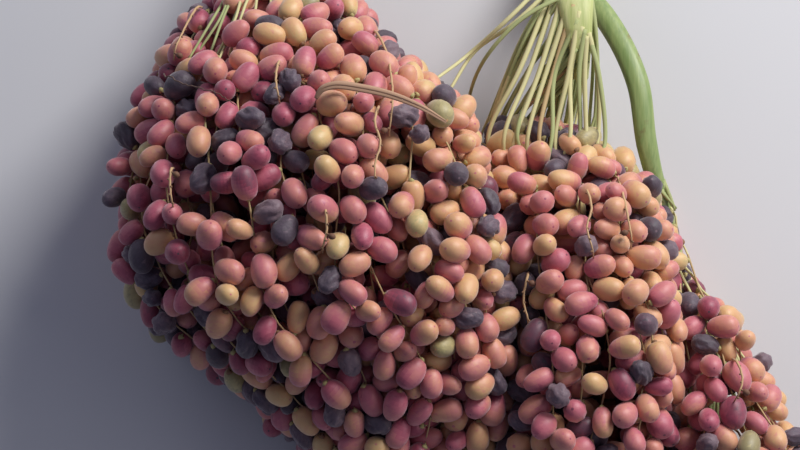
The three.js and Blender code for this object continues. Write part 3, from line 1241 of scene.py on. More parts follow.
    def _bearing(self, count: int, rng: Rng) -> Array:
        """Choose the nodes that still bear their date. Some strands have lost a few in a row.

        Args:
            count: how many nodes there are.
            rng: the source of the losses.

        Returns:
            Whether each node bears.
        """
        bears = np.ones(count, bool)
        for start in np.flatnonzero(rng.random(count) < self.bare_share):
            bears[start:start + rng.integers(1, self.longest_bare + 1)] = False
        bears[[0, -1]] = True
        return bears

    def _swayed(self, heap: Heap, at: Array, nodes: Array,
                rng: Rng) -> tuple[Array, Array, Array]:
        """Let a strand's nodes sway sideways and dip under the skin.

        Args:
            heap: the bunch's space.
            at: each node's length along the strand.
            nodes: their places.
            rng: the source of the unevenness.

        Returns:
            The moved nodes, the way out of the bunch at each, and how far each dips.
        """
        wave = at / rng.uniform(*self.wave_lengths) + rng.uniform(0, 2 * math.pi)
        cut = heap.section(nodes[:, 1])
        core_x = cut.middle * self.core_pull + nodes[:, 0] * (1 - self.core_pull)
        core_z = np.minimum(nodes[:, 2], cut.crest * heap.core_height)
        outward = unit(nodes - np.stack([core_x, nodes[:, 1], core_z], axis=1))
        sideways = unit(np.cross(outward, (0.0, 1.0, 0.0)))
        dips = self.deepest_dip * rng.random() ** 1.3 + self.dip_wave * np.sin(1.7 * wave)
        dips = np.clip(dips, 0, self.deepest_dip)
        swing = sideways * (self.sway * np.sin(wave))[:, None]
        nodes = nodes + swing - outward * self.dip_share * dips[:, None]
        nodes[:, 2] = np.maximum(nodes[:, 2], self.off_floor)
        return nodes, outward, dips

    def _lead(self, heap: Heap, stalk: Stalk, line: Array, rng: Rng) -> Array:
        """The bare way from the stalk through the gate above the bunch to the first fruit.

        Args:
            heap: the bunch's space.
            stalk: the stalk that it leaves.
            line: the strand's line down to its first fruit.
            rng: the source of its unevenness.

        Returns:
            The points of the way.
        """
        inside = self._gathered(heap, line)
        target = inside[0]
        left, right = heap.edges(np.array([heap.start]))
        spread = float(np.clip((target[0] - left[0]) / (right[0] - left[0]) * 2 - 1, -1, 1))
        start = self._root(stalk, spread, rng)
        reach = np.linalg.norm(target - start)
        aside, ahead = self.arch_sides
        arch = reach * np.array([aside * spread, ahead * abs(spread), rng.uniform(*self.arch_rise)])
        middle = start * (1 - self.bow_at) + target * self.bow_at + arch
        steps = np.linspace(0, 1, max(4, int(reach / self.lead_step)))
        ease = catmull(np.array([start, middle, target]), steps)
        way = soften(np.vstack([ease[:-1], inside]), self.kink_rounds)
        return np.vstack([way[:-1:self.kept_points], way[-1:]])

    def _gathered(self, heap: Heap, line: Array) -> Array:
        """The part of a lead inside the bunch, drawn in towards the bunch's middle.

        Args:
            heap: the bunch's space.
            line: the strand's line down to its first fruit.

        Returns:
            The points from the gate to the first fruit.
        """
        above = np.arange(heap.start - self.entry, line[0, 1], -self.along_step)
        within = line[line[:, 1] <= heap.start - self.entry]
        inside = np.vstack([np.column_stack([above, above, above]), within if len(within) else line[-1:]])
        cut = heap.section(inside[:, 1])
        width = cut.right - cut.left
        gate = len(above)
        share = (line[0, 0] - cut.left[gate]) / width[gate]
        edge = self.edge_room / width[gate]
        share = float(np.clip(0.5 + self.fanning * (share - 0.5), edge, 1 - edge))
        inside[:gate, 0] = (cut.left + width * share)[:gate]
        inside[:gate, 2] = (cut.crest * heap.core_height)[:gate]
        depth = min(1, len(inside) / self.steps_to_depth) * self.drawn_in
        drawn = depth * np.sqrt(1 - np.linspace(0, 1, len(inside)) ** 2)
        drawn_aside = self.drawn_across * np.sin(np.linspace(0, math.pi, len(inside)))
        inside[:, 0] += drawn_aside * (cut.middle - inside[:, 0])
        inside[:, 2] += drawn * (cut.crest * heap.core_height - inside[:, 2])
        return inside

    def _root(self, stalk: Stalk, spread: float, rng: Rng) -> Array:
        """Where a lead leaves the stalk. The outer leads leave it further back.

        Args:
            stalk: the stalk.
            spread: where the lead is bound, from -1 at the bunch's left edge to 1.
            rng: the source of the unevenness.

        Returns:
            A point just inside the stalk's skin.
        """
        early, late = stalk.rachis
        place = np.array([late + (early - late) * min(1, abs(spread) * rng.uniform(*self.root_spread))])
        root, width, thick = (value[0] for value in stalk.at(place))
        _, across, over = (value[0] for value in stalk.frames(place))
        side = math.copysign(1, spread * across[0])
        round_it = math.radians(rng.uniform(*self.root_turn))
        start = root + across * (side * math.cos(round_it) * width * SUNK_ROOT)
        return start + over * (math.sin(round_it) * thick * SUNK_ROOT)


@dataclass
class Fruit:
    """Every date of the plant as arrays, one row to a date."""

    strand: Array
    node: Array
    stem: Array
    tip: Array
    radius: Array
    reach: Array
    dip: Array
    shrivelled: Array

    @property
    def axis(self) -> Array:
        """The direction from stem end to tip."""
        return unit(self.tip - self.stem)

    @property
    def middle(self) -> Array:
        """The middle of each date."""
        return (self.stem + self.tip) / 2


@dataclass
class Settling:
    """Hangs dates on their nodes and lets them push each other apart until they only touch.

    A date is held by two overlapping balls, one at its stem end and one at its tip.
    """

    radius: float = 12.9
    radius_spread: float = 0.085
    half_gap: float = 5.2
    pedicel: float = 2.4
    shrivelled_size: float = 0.95
    rounds: int = 90
    squeeze: float = 0.965
    uneven_turn: float = 0.12
    outer_turn: float = 200.0
    leans: Pair = (24.0, 104.0)
    top_withering: float = 0.3
    lit_flank_sparing: float = 0.6
    length_spread: float = 0.14
    pairs_kept_for: int = 6
    pair_reach: float = 2.6
    homing: float = 0.06
    push: float = 0.8
    link_share: float = 0.3

    def hang(self, strands: list[Strand], rng: Rng) -> Fruit:
        """Hang one date on each node, turned away from its strand.

        Args:
            strands: the strands that bear them.
            rng: the source of their unevenness.

        Returns:
            The dates before they settle.
        """
        owner = np.concatenate([np.full(len(s.nodes), i) for i, s in enumerate(strands)])
        nodes = np.concatenate([s.nodes for s in strands])
        outward = np.concatenate([s.outward for s in strands])
        along = np.concatenate([unit(np.gradient(s.nodes, axis=0)) for s in strands])
        outer = np.concatenate([np.full(len(s.nodes), s.depth == strands[0].depth) for s in strands])
        across = unit(np.cross(along, outward))
        count = len(nodes)
        order = (np.arange(count) * GOLDEN + rng.uniform(-self.uneven_turn, self.uneven_turn, count)) % 1
        turn = np.where(outer, (order - 0.5) * math.radians(self.outer_turn), order * 2 * math.pi)
        lean = np.radians(rng.uniform(*self.leans, count))
        away = np.cos(turn)[:, None] * outward + np.sin(turn)[:, None] * across
        axis = unit(np.cos(lean)[:, None] * along + np.sin(lean)[:, None] * away)
        along_strand = np.concatenate([np.linspace(0, 1, len(s.nodes)) for s in strands])
        flank = np.concatenate([s.heap.flank(s.nodes[:, 0]) for s in strands])
        withering = np.array([s.withering for s in strands])[owner]
        # Painted light: dates on the flank turned to the light shrivel less often, so fewer dark ones show
        # there.
        withering = withering * (self.top_withering + along_strand) * (1 - self.lit_flank_sparing * flank)
        dips = np.concatenate([s.dips for s in strands])
        shrivelled = rng.random(count) < withering
        radius = self.radius * (1 + self.radius_spread * rng.standard_normal(count).clip(-2, 2))
        radius = np.where(shrivelled, radius * self.shrivelled_size, radius)
        reach = self.half_gap * (1 + self.length_spread * rng.standard_normal(count).clip(-2, 2))
        stem = nodes + axis * (radius + self.pedicel)[:, None]
        tip = stem + axis * (2 * reach)[:, None]
        return Fruit(owner, nodes, stem, tip, radius, reach, dips, shrivelled)

    def settle(self, fruit: Fruit, strands: list[Strand]) -> None:
        """Let the dates push apart, held by their nodes, the skins of the bunches and the floor.

        Args:
            fruit: the dates, moved in place.
            strands: the strands, whose nodes move too.
        """
        count = len(fruit.node)
        home = fruit.node.copy()
        heaps = [s.heap for s in strands]
        follows = np.flatnonzero(fruit.strand[1:] == fruit.strand[:-1])
        link = np.linalg.norm(home[follows + 1] - home[follows], axis=1)
        balls = np.concatenate([fruit.radius, fruit.radius]) * self.squeeze
        date = np.concatenate([np.arange(count), np.arange(count)])
        for turn in range(self.rounds):
            places = np.concatenate([fruit.stem, fruit.tip])
            if turn % self.pairs_kept_for == 0:
                one, two = close_pairs(places, self.pair_reach * self.radius)
                apart = date[one] != date[two]
                one, two = one[apart], two[apart]
            self._push_apart(places, one, two, balls)
            fruit.stem, fruit.tip = places[:count], places[count:]
            self._hold_shape(fruit)
            self._hold_links(fruit.node, follows, link)
            fruit.node += self.homing * (home - fruit.node)
            self._hold_in(fruit, heaps)

    def _push_apart(self, places: Array, one: Array, two: Array, balls: Array) -> None:
        """Move overlapping balls apart, sharing each move among all that push on a ball.

        Args:
            places: the balls' centres, moved in place.
            one: the first ball of each near pair.
            two: the second ball of each.
            balls: their radii.
        """
        gap = places[two] - places[one]
        far = np.linalg.norm(gap, axis=1)
        deep = balls[one] + balls[two] - far
        hit = deep > 0
        one, two = one[hit], two[hit]
        move = gap[hit] / np.maximum(far[hit], 1e-6)[:, None] * (deep[hit] * 0.5)[:, None]
        shift = np.zeros_like(places)
        pushes = np.bincount(one, minlength=len(places)) + np.bincount(two, minlength=len(places))
        for c in range(3):
            forward = np.bincount(two, move[:, c], len(places))
            shift[:, c] = forward - np.bincount(one, move[:, c], len(places))
        places += shift / np.maximum(pushes, 1)[:, None] ** 0.5 * self.push

    def _hold_shape(self, fruit: Fruit) -> None:
        """Keep each date its own length, and at its pedicel's length from its node, in line with it.

        Args:
            fruit: the dates, moved in place.
        """
        spans = ((fruit.node, fruit.stem, fruit.radius + self.pedicel, 0.7, 0.3),
                 (fruit.node, fruit.tip, fruit.radius + self.pedicel + 2 * fruit.reach, 0.85, 0.15),
                 (fruit.stem, fruit.tip, 2 * fruit.reach, 0.5, 0.5))
        for near, far, want, far_share, near_share in spans:
            gap = far - near
            length = np.linalg.norm(gap, axis=1)
            wrong = ((length - want) / np.maximum(length, 1e-6))[:, None] * gap
            far -= wrong * far_share
            near += wrong * near_share

    def _hold_links(self, nodes: Array, follows: Array, link: Array) -> None:
        """Keep neighbouring nodes of a strand at their spacing.

        Args:
            nodes: all nodes, moved in place.
            follows: each node whose next one is on the same strand.
            link: the length that each such pair keeps.
        """
        gap = nodes[follows + 1] - nodes[follows]
        length = np.linalg.norm(gap, axis=1)
        wrong = ((length - link) / np.maximum(length, 1e-6))[:, None] * gap * self.link_share
        nodes[follows] += wrong
        nodes[follows + 1] -= wrong

    def _hold_in(self, fruit: Fruit, heaps: list[Heap]) -> None:
        """Keep every ball inside the skin of its bunch and above the floor.

        Args:
            fruit: the dates, moved in place.
            heaps: each strand's bunch.
        """
        for heap in {id(h): h for h in heaps}.values():
            mine = np.array([h is heap for h in heaps])[fruit.strand]
            fruit.stem[mine] = heap.hold_in(fruit.stem[mine], fruit.radius[mine], fruit.dip[mine])
            fruit.tip[mine] = heap.hold_in(fruit.tip[mine], fruit.radius[mine], fruit.dip[mine])


# The look of the dates


@dataclass(frozen=True)
class DateForm:
    """How finely a date is meshed: points round it, and the angles of its rings from stem to tip."""

    sides: int
    rings: tuple[float, ...]

    def faces(self) -> Array:
        """Triangles of one date."""
        return tube_faces(self.sides, len(self.rings))


PLUMP = DateForm(16, (13, 27, 42, 58, 74, 90, 106, 122, 138, 152, 166, 177))
FINEST = DateForm(24, (11, 23, 36, 49, 62, 75, 88, 101, 114, 127, 140, 153, 166, 177))
HIDDEN = DateForm(10, (20, 46, 74, 102, 130, 155, 176))
DEEP = DateForm(8, (26, 64, 102, 140, 173))


@dataclass
class DateMaker:
    """Shapes and colours dates in batches."""

    skins: Skins
    rng: Rng
    key_lamp_side: Triple = (0.35, 0.65, 0.67)
    mottling: float = 0.75
    freckle: float = 3.0
    freckle_share: float = 0.025
    dot_darkness: float = 11.0
    ball_share: float = 0.985
    tapers: Pair = (-0.17, 0.12)
    bow: float = 0.09
    flatness: Pair = (0.94, 1.03)
    fullness: float = 0.82
    stem_hollow: float = 0.06
    hollow_angle: float = 0.35
    stem_end: float = 0.95
    key_lamp_side_wander: float = 0.35
    key_lamp_side_shares: Pair = (0.15, 0.85)
    blush_starts: float = 0.22
    blush_spans: float = 0.62

    def frames(self, axis: Array) -> tuple[Array, Array]:
        """Two directions square to each date's axis and to each other, turned at random."""
        side = unit(np.cross(axis, self.rng.standard_normal(axis.shape)))
        return side, np.cross(axis, side)

    def shape(self, fruit: Fruit, pick: Array, form: DateForm,
              frames: tuple[Array, Array]) -> Array:
        """Vertices of the picked dates.

        Args:
            fruit: all the dates.
            pick: which of them.
            form: how finely they are meshed.
            frames: the directions square to their axes.

        Returns:
            Points as (dates, vertices, 3), the two end points last.
        """
        n = len(pick)
        rng = self.rng
        axis = fruit.axis[pick]
        side, other = frames
        angle = np.radians(np.array(form.rings))
        turn = np.linspace(0, 2 * math.pi, form.sides, endpoint=False)
        radius = fruit.radius[pick] / self.ball_share
        half = fruit.reach[pick] + fruit.radius[pick]
        withered = fruit.shrivelled[pick]
        taper = rng.uniform(*self.tapers, n)
        bow = rng.uniform(-self.bow, self.bow, (n, 2))
        flat = rng.uniform(*self.flatness, (n, 2))
        girth = np.sin(angle)[None] ** self.fullness * (1 + taper[:, None] * np.cos(angle)[None])
        height = -np.cos(angle)[None] * half[:, None]
        hollow = np.exp(-(angle[None] / self.hollow_angle) ** 2)
        height = height + self.stem_hollow * half[:, None] * hollow
        swell = self._relief(n, angle, turn, withered)
        out_x = np.cos(turn)[None, None] * swell * (girth * radius[:, None] * flat[:, :1])[..., None]
        out_y = np.sin(turn)[None, None] * swell * (girth * radius[:, None] * flat[:, 1:])[..., None]
        bend = (1 - (height / half[:, None]) ** 2) * radius[:, None]
        out_x = out_x + (bend * bow[:, :1])[..., None]
        out_y = out_y + (bend * bow[:, 1:])[..., None]
        middle = fruit.middle[pick]
        rings = (middle[:, None, None] + side[:, None, None] * out_x[..., None]
                 + other[:, None, None] * out_y[..., None] + axis[:, None, None] * height[..., None, None])
        stem_end = middle - axis * (half * self.stem_end)[:, None]
        ends = np.stack([stem_end, middle + axis * half[:, None]], axis=1)
        points = np.concatenate([rings.reshape(n, -1, 3), ends], axis=1)
        points[..., 2] = np.maximum(points[..., 2], 0)
        return points

    def _relief(self, n: int, angle: Array, turn: Array, withered: Array) -> Array:
        """How far the skin stands out or in: soft dimples on plump dates, folds on shrivelled ones.

        Args:
            n: how many dates there are.
            angle: the angles of a date's rings from its stem end.
            turn: the angles of the points round a ring.
            withered: which dates are shrivelled.

        Returns:
            Shares of the radius, as (dates, rings, points).
        """
        rng = self.rng
        a = angle[None, :, None]
        t = turn[None, None, :]
        phase = rng.uniform(0, 2 * math.pi, (6, n, 1, 1))
        soft = 0.014 * np.sin(2 * t + phase[0]) + 0.012 * np.sin(3 * t + 2 * a + phase[1])
        count = rng.integers(5, 8, (n, 1, 1))
        warp = 0.25 * np.sin(2.3 * a + phase[2]) + 0.16 * np.sin(5.1 * a + phase[3])
        ridges = np.abs(np.sin(count * 0.5 * (t + warp) + phase[4]))
        buckles = np.abs(np.sin(2.6 * a + np.sin(2 * t + phase[1]) * 1.4 + phase[5]))
        dent = 0.2 * np.exp(-(np.angle(np.exp(1j * (t + phase[5]))) / 0.8) ** 2) * np.sin(a)
        folds = 0.3 * ridges**0.8 + 0.12 * buckles**0.7 - 0.3 - dent
        fade = np.sin(a) ** 0.5
        return 1 + np.where(withered[:, None, None], folds, soft) * fade

    def colour(self, tone: Array, blush: Array, form: DateForm, axis: Array,
               frames: tuple[Array, Array]) -> Array:
        """Material numbers of the picked dates' faces.

        Args:
            tone: each date's place among the tones, at its stem end.
            blush: how many tones it changes towards its tip and towards the side that faces the key lamp, a
                painted highlight.
            form: how finely it is meshed.
            axis: the dates' axes.
            frames: the directions square to their axes.

        Returns:
            Material numbers as (dates, triangles).
        """
        n = len(tone)
        rng = self.rng
        sides = form.sides
        edges = np.radians(np.array([0, *form.rings, 180]))
        band = (edges[:-1] + edges[1:]) / 2
        level = (1 - np.cos(band)) / 2
        turn = np.linspace(0, 2 * math.pi, sides, endpoint=False)[None, None]
        # Painted highlight: each date's blush is laid partly towards the side that faces the key lamp, where
        # most dates come out lighter; the rest runs from stem end to tip.
        key_lamp_side = unit(np.array(self.key_lamp_side) + rng.normal(0, self.key_lamp_side_wander, (n, 3)))
        along, beside, across = ((way * key_lamp_side).sum(axis=1)[:, None, None] for way in (axis, *frames))
        round_part = (np.cos(turn) * beside + np.sin(turn) * across) * np.sin(band)[None, :, None]
        facing_key_lamp = round_part - np.cos(band)[None, :, None] * along
        share = rng.uniform(*self.key_lamp_side_shares, (n, 1, 1))
        waves = 0.05 * np.sin(3 * turn + 20 * share + 4 * level[None, :, None])
        at = share * (0.5 + 0.5 * facing_key_lamp) + (1 - share) * level[None, :, None] + waves
        at = np.clip((at - self.blush_starts) / self.blush_spans, 0, 1)
        ease = at * at * (3 - 2 * at)
        place = tone[:, None, None] + blush[:, None, None] * ease
        halves = np.repeat(place[:, 1:-1].reshape(n, -1, 1, sides), 2, axis=2).reshape(n, -1)
        spread = np.concatenate([place[:, 0], halves, place[:, -1]], axis=1)
        mottled = spread + rng.normal(0, self.mottling, spread.shape)
        mottled += self.freckle * (rng.random(spread.shape) < self.freckle_share)
        mottled[:, -sides:] += self.dot_darkness
        lightest = np.maximum(place.min(axis=(1, 2)) - 1, self.skins.index(Tone.OLIVE))[:, None]
        return np.clip(np.rint(np.maximum(mottled, lightest)), 0, self.skins.tones - 1).astype(int)


@dataclass
class Ripeness:
    """Deals each date its tone: by the place it hangs in, by its strand, and by its own luck. The place
    paints light and shade: lighter towards the key lamp's side and the lit flank, darker deep under the
    skin.
    """

    skins: Skins
    rng: Rng
    deep_dip: float = 20.0
    lit_flank_lightening: float = 0.3
    strand_spread: float = 0.6
    date_spread: float = 0.8
    cool_tone: float = 0.8
    warm_and_lit_shift: float = 2.3
    blush: Pair = (2.7, 1.3)
    most_blush: float = 3.0
    flipped: float = 0.3
    ambers: Pair = (0.18, 0.26)
    greens: Pair = (0.965, 0.98)
    ripe_from: float = 0.89
    ripe_when_warm_and_lit: float = 0.09
    painted_shade_when_buried: float = 0.16
    ripe_and_shrivelled: float = 0.55
    turning: Pair = (0.60, 0.62)

    def deal(self, fruit: Fruit, strands: list[Strand]) -> tuple[Array, Array]:
        """Choose the tones of all dates.

        Args:
            fruit: all the dates.
            strands: the strands that bear them.

        Returns:
            Each date's tone at its stem end, and its change towards the tip.
        """
        rng = self.rng
        n = len(fruit.node)
        x, y = fruit.middle[:, 0], fruit.middle[:, 1]
        step = Skins.STEPS_BETWEEN_KEYS
        key = {tone: self.skins.index(tone) for tone in Tone}
        of_first = np.array([s.heap.left_neighbour is None for s in strands])[fruit.strand]
        flank = of_first * strands[0].heap.flank(x)
        # Partly painted light: tones run lighter and warmer towards the key lamp's side and onto the first
        # bunch's lit flank, with more ambers and fewer dark ripe dates there; the left bunch's redder tone
        # is real.
        warm_and_lit = np.clip((x + 420) / 840 * 0.75 + (y + 300) / 560 * 0.35 + self.lit_flank_lightening * flank, 0, 1)
        strand_luck = rng.normal(0, self.strand_spread, len(strands))[fruit.strand]
        place = self.cool_tone - self.warm_and_lit_shift * warm_and_lit + strand_luck
        tone = key[Tone.ROSE] + step * (place + rng.normal(0, self.date_spread, n))
        blush = -step * np.abs(rng.normal(*self.blush, n)) * (0.65 + 0.75 * warm_and_lit)
        flip = rng.random(n) < self.flipped
        tone, blush = np.where(flip, tone + blush, tone), np.where(flip, -blush, blush)
        luck = rng.random(n)
        amber = luck < self.ambers[0] + self.ambers[1] * warm_and_lit
        tone = np.where(amber, key[Tone.AMBER] + step * rng.normal(0.4, 0.7, n).clip(-1), tone)
        blush = np.where(amber, step * np.abs(rng.normal(0.6, 0.9, n)), blush)
        green = (luck > self.greens[0] - 0.01 * warm_and_lit) & (luck < self.greens[1])
        tone = np.where(green, key[Tone.STRAW_GREEN] + step * rng.normal(-0.3, 0.5, n), tone)
        # Painted shade: dates that dip deep under the skin are more often dealt the dark ripe tones, except
        # on the lit flank.
        buried = fruit.dip / self.deep_dip
        shaded = self.painted_shade_when_buried * buried * (1 - flank)
        ripe = (luck > self.ripe_from + self.ripe_when_warm_and_lit * warm_and_lit - shaded) & ~green
        ripe = fruit.shrivelled | ripe
        fruit.shrivelled |= ripe & (rng.random(n) < self.ripe_and_shrivelled)
        tone = np.where(ripe, key[Tone.PLUM] + step * rng.uniform(-0.5, 2.2, n), tone)
        tone = np.where(fruit.shrivelled, key[Tone.PURPLE_BLACK] + step * rng.uniform(0.2, 2, n), tone)
        blush = np.where(ripe | green, step * rng.normal(0, 0.3, n), blush)
        blush = np.clip(blush, -self.most_blush * step, self.most_blush * step)
        turning = (luck > self.turning[0]) & (luck < self.turning[1])
        blush = np.where(turning, key[Tone.DARK_CRIMSON] - tone, blush)
        return np.clip(tone, key[Tone.OLIVE], self.skins.tones - 1), blush


@dataclass
class BunchDresser:
    """Writes the dates, calyxes and strands of every hank as joined pieces."""

    skins: Skins
    strands: list[Strand]
    fruit: Fruit
    rng: Rng
    root_radius: float = 2.9
    fruiting_radius: float = 1.3
    end_radius: float = 0.8
    strand_sides: int = 6
    dry_share: float = 0.05
    green_reach: Pair = (0.2, 1.1)
    pale_past_lead: float = 0.1
    steep_blush: float = 12.5
    deep_from: float = 3.0
    cap_rings: tuple[Pair, ...] = ((1.3, -1.6), (3.5, 0.2), (3.2, 2.2))
    cap_end: float = 3.0
    cap_lobes: float = 0.16
    cap_sides: tuple[int, int] = (9, 6)
    dry_caps: float = 0.35

    def dress(self) -> None:
        """Make all pieces, hank by hank."""
        tone, blush = Ripeness(self.skins, self.rng).deal(self.fruit, self.strands)
        maker = DateMaker(self.skins, self.rng)
        hanks: dict[tuple[str, int], list[int]] = {}
        for i, strand in enumerate(self.strands):
            hanks.setdefault((strand.heap.name, strand.hank), []).append(i)
        for (bunch, hank), members in sorted(hanks.items()):
            node = f"{bunch}_hank_{hank + 1}"
            slot = "red_dates" if bunch == "left" else "amber_dates"
            pick = np.flatnonzero(np.isin(self.fruit.strand, members))
            dates = self._dates(maker, pick, tone, blush)
            dates.hand_over(self.skins, f"{node}_dates", node, slot)
            self._calyxes(pick).hand_over(self.skins, f"{node}_calyxes", node, PALE_SLOT)
            self._strands(members).hand_over(self.skins, f"{node}_strands", node, PALE_SLOT)

    def _depths(self, pick: Array) -> Array:
        """How deep the strands of the picked dates run, where the outer ones count as 1."""
        depths = np.array([s.depth for s in self.strands])
        return depths[self.fruit.strand[pick]] / depths[0]

    def _dates(self, maker: DateMaker, pick: Array, tone: Array, blush: Array) -> MeshBuffer:
        """Gather a hank's dates, each meshed as finely as it shows.

        Args:
            maker: what shapes and colours them.
            pick: which dates are the hank's.
            tone: every date's tone at its stem end.
            blush: every date's change towards its tip.

        Returns:
            The gathered mesh.
        """
        fruit = self.fruit
        depth = self._depths(pick)
        outer, deep = depth == 1, depth > self.deep_from
        finest = fruit.shrivelled[pick] | (np.abs(blush[pick]) > self.steep_blush)
        groups = (
            (PLUMP, outer & ~finest),
            (FINEST, outer & finest),
            (HIDDEN, ~outer & ~deep),
            (DEEP, deep),
        )
        buffer = MeshBuffer()
        for form, group in groups:
            chosen = pick[group]
            if len(chosen):
                axis = fruit.axis[chosen]
                frames = maker.frames(axis)
                slots = maker.colour(tone[chosen], blush[chosen], form, axis, frames)
                buffer.add(maker.shape(fruit, chosen, form, frames), form.faces()[:, ::-1], slots)
        return buffer

    def _calyxes(self, pick: Array) -> MeshBuffer:
        """Gather the three-lobed caps that join dates to their strands, the hidden ones more plainly.

        Args:
            pick: which dates wear them.

        Returns:
            The gathered mesh.
        """
        buffer = MeshBuffer()
        outer = self._depths(pick) == 1
        for sides, chosen in zip(self.cap_sides, (pick[outer], pick[~outer])):
            if len(chosen):
                self._caps(buffer, chosen, sides)
        return buffer

    def _caps(self, buffer: MeshBuffer, pick: Array, sides: int) -> None:
        """Add the caps of the picked dates.

        Args:
            buffer: where they are gathered.
            pick: which dates wear them.
            sides: points round each cap.
        """
        fruit = self.fruit
        axis = fruit.axis[pick]
        side = unit(np.cross(axis, self.rng.standard_normal((len(pick), 3))))
        other = np.cross(axis, side)
        seat = fruit.stem[pick] - axis * fruit.radius[pick][:, None]
        turn = np.linspace(0, 2 * math.pi, sides, endpoint=False)
        lobes = 1 + self.cap_lobes * np.cos(3 * turn)
        rings = []
        for radius, lift in self.cap_rings:
            ring = (side[:, None] * (np.cos(turn) * lobes * radius)[None, :, None]
                    + other[:, None] * (np.sin(turn) * lobes * radius)[None, :, None])
            rings.append(seat[:, None] + ring + axis[:, None] * lift)
        ends = np.stack([fruit.node[pick], seat + axis * self.cap_end], axis=1)
        points = np.concatenate([*rings, ends], axis=1)
        points[..., 2] = np.maximum(points[..., 2], 0)
        dry = self.rng.random(len(pick)) < self.dry_caps
        index = self.skins.part_index
        slots = np.where(dry, index[Part.DRY_CALYX], index[Part.CALYX])
        faces = tube_faces(sides, len(rings))[:, ::-1]
        buffer.add(points, faces, np.broadcast_to(slots[:, None], (len(pick), len(faces))))

    def _strands(self, members: list[int]) -> MeshBuffer:
        """Gather a hank's strands as tapering tubes through their nodes.

        Args:
            members: the numbers of its strands.

        Returns:
            The gathered mesh.
        """
        buffer = MeshBuffer()
        index = self.skins.part_index
        for number in members:
            strand = self.strands[number]
            nodes = self.fruit.node[self.fruit.strand == number]
            route = np.vstack([strand.bare[:-1], nodes])
            steps = len(route) * 2
            line = catmull(route, np.linspace(0, 1, steps))
            lead = len(strand.bare) / len(route)
            at = np.linspace(0, 1, steps)
            radius = np.interp(at, [0, lead, 1], [self.root_radius, self.fruiting_radius, self.end_radius])
            tints = np.where(at < lead + self.pale_past_lead, index[Part.STRAND], index[Part.RIPE_STRAND])
            greened = at < lead * self.rng.uniform(*self.green_reach)
            tints = np.where(greened, index[Part.GREEN_STRAND], tints)
            if self.rng.random() < self.dry_share:
                tints[:] = index[Part.DRY_STRAND]
            add_tube(buffer, line, radius, self.strand_sides, tints)
            for spare in strand.companions:
                ease = catmull(spare, np.linspace(0, 1, 2 * len(spare)))
                thin = np.linspace(self.root_radius, self.fruiting_radius, len(ease))
                add_tube(buffer, ease, thin, self.strand_sides, np.full(len(ease), tints[0]))
        return buffer


def add_tube(buffer: MeshBuffer, line: Array, radius: Array, sides: int, tints: Array,
             flatten: float = 1.0) -> None:
    """Add a tapering tube.

    Args:
        buffer: where it is gathered.
        line: its middle line.
        radius: its radius at each point of the line.
        sides: points round it.
        tints: the material number at each point of the line.
        flatten: its thickness as a share of its width.
    """
    ahead = unit(np.gradient(line, axis=0))
    across = unit(np.cross(ahead, NEARLY_UP))
    over = np.cross(across, ahead)
    turn = np.linspace(0, 2 * math.pi, sides, endpoint=False)
    ring = (across[:, None] * np.cos(turn)[None, :, None]
            + over[:, None] * (np.sin(turn) * flatten)[None, :, None]) * radius[:, None, None]
    points = np.concatenate([(line[:, None] + ring).reshape(-1, 3), line[[0, -1]]])
    points[:, 2] = np.maximum(points[:, 2], TUBE_OFF_FLOOR)
    bands = np.repeat(tints[:-1], 2 * sides)
    slots = np.concatenate([np.full(sides, tints[0]), bands, np.full(sides, tints[-1])])
    buffer.add(points[None], tube_faces(sides, len(line))[:, ::-1], slots[None])


# What lies on top of the dates


@dataclass(frozen=True)
class LeadFan:
    """Leads that show between a stalk and the dates.

    They leave the stalk's upper face between two places along it. Each spot that they pass has an x, a y,
    how far they spread there to either side, and a height over the dates' skin, or over the floor beyond
    the bunches.
    """

    name: str
    node: str
    stalk: Stalk
    leads: int
    leaves: Pair
    spots: Sequence[tuple[float, float, float, float]]
    radii: Pair


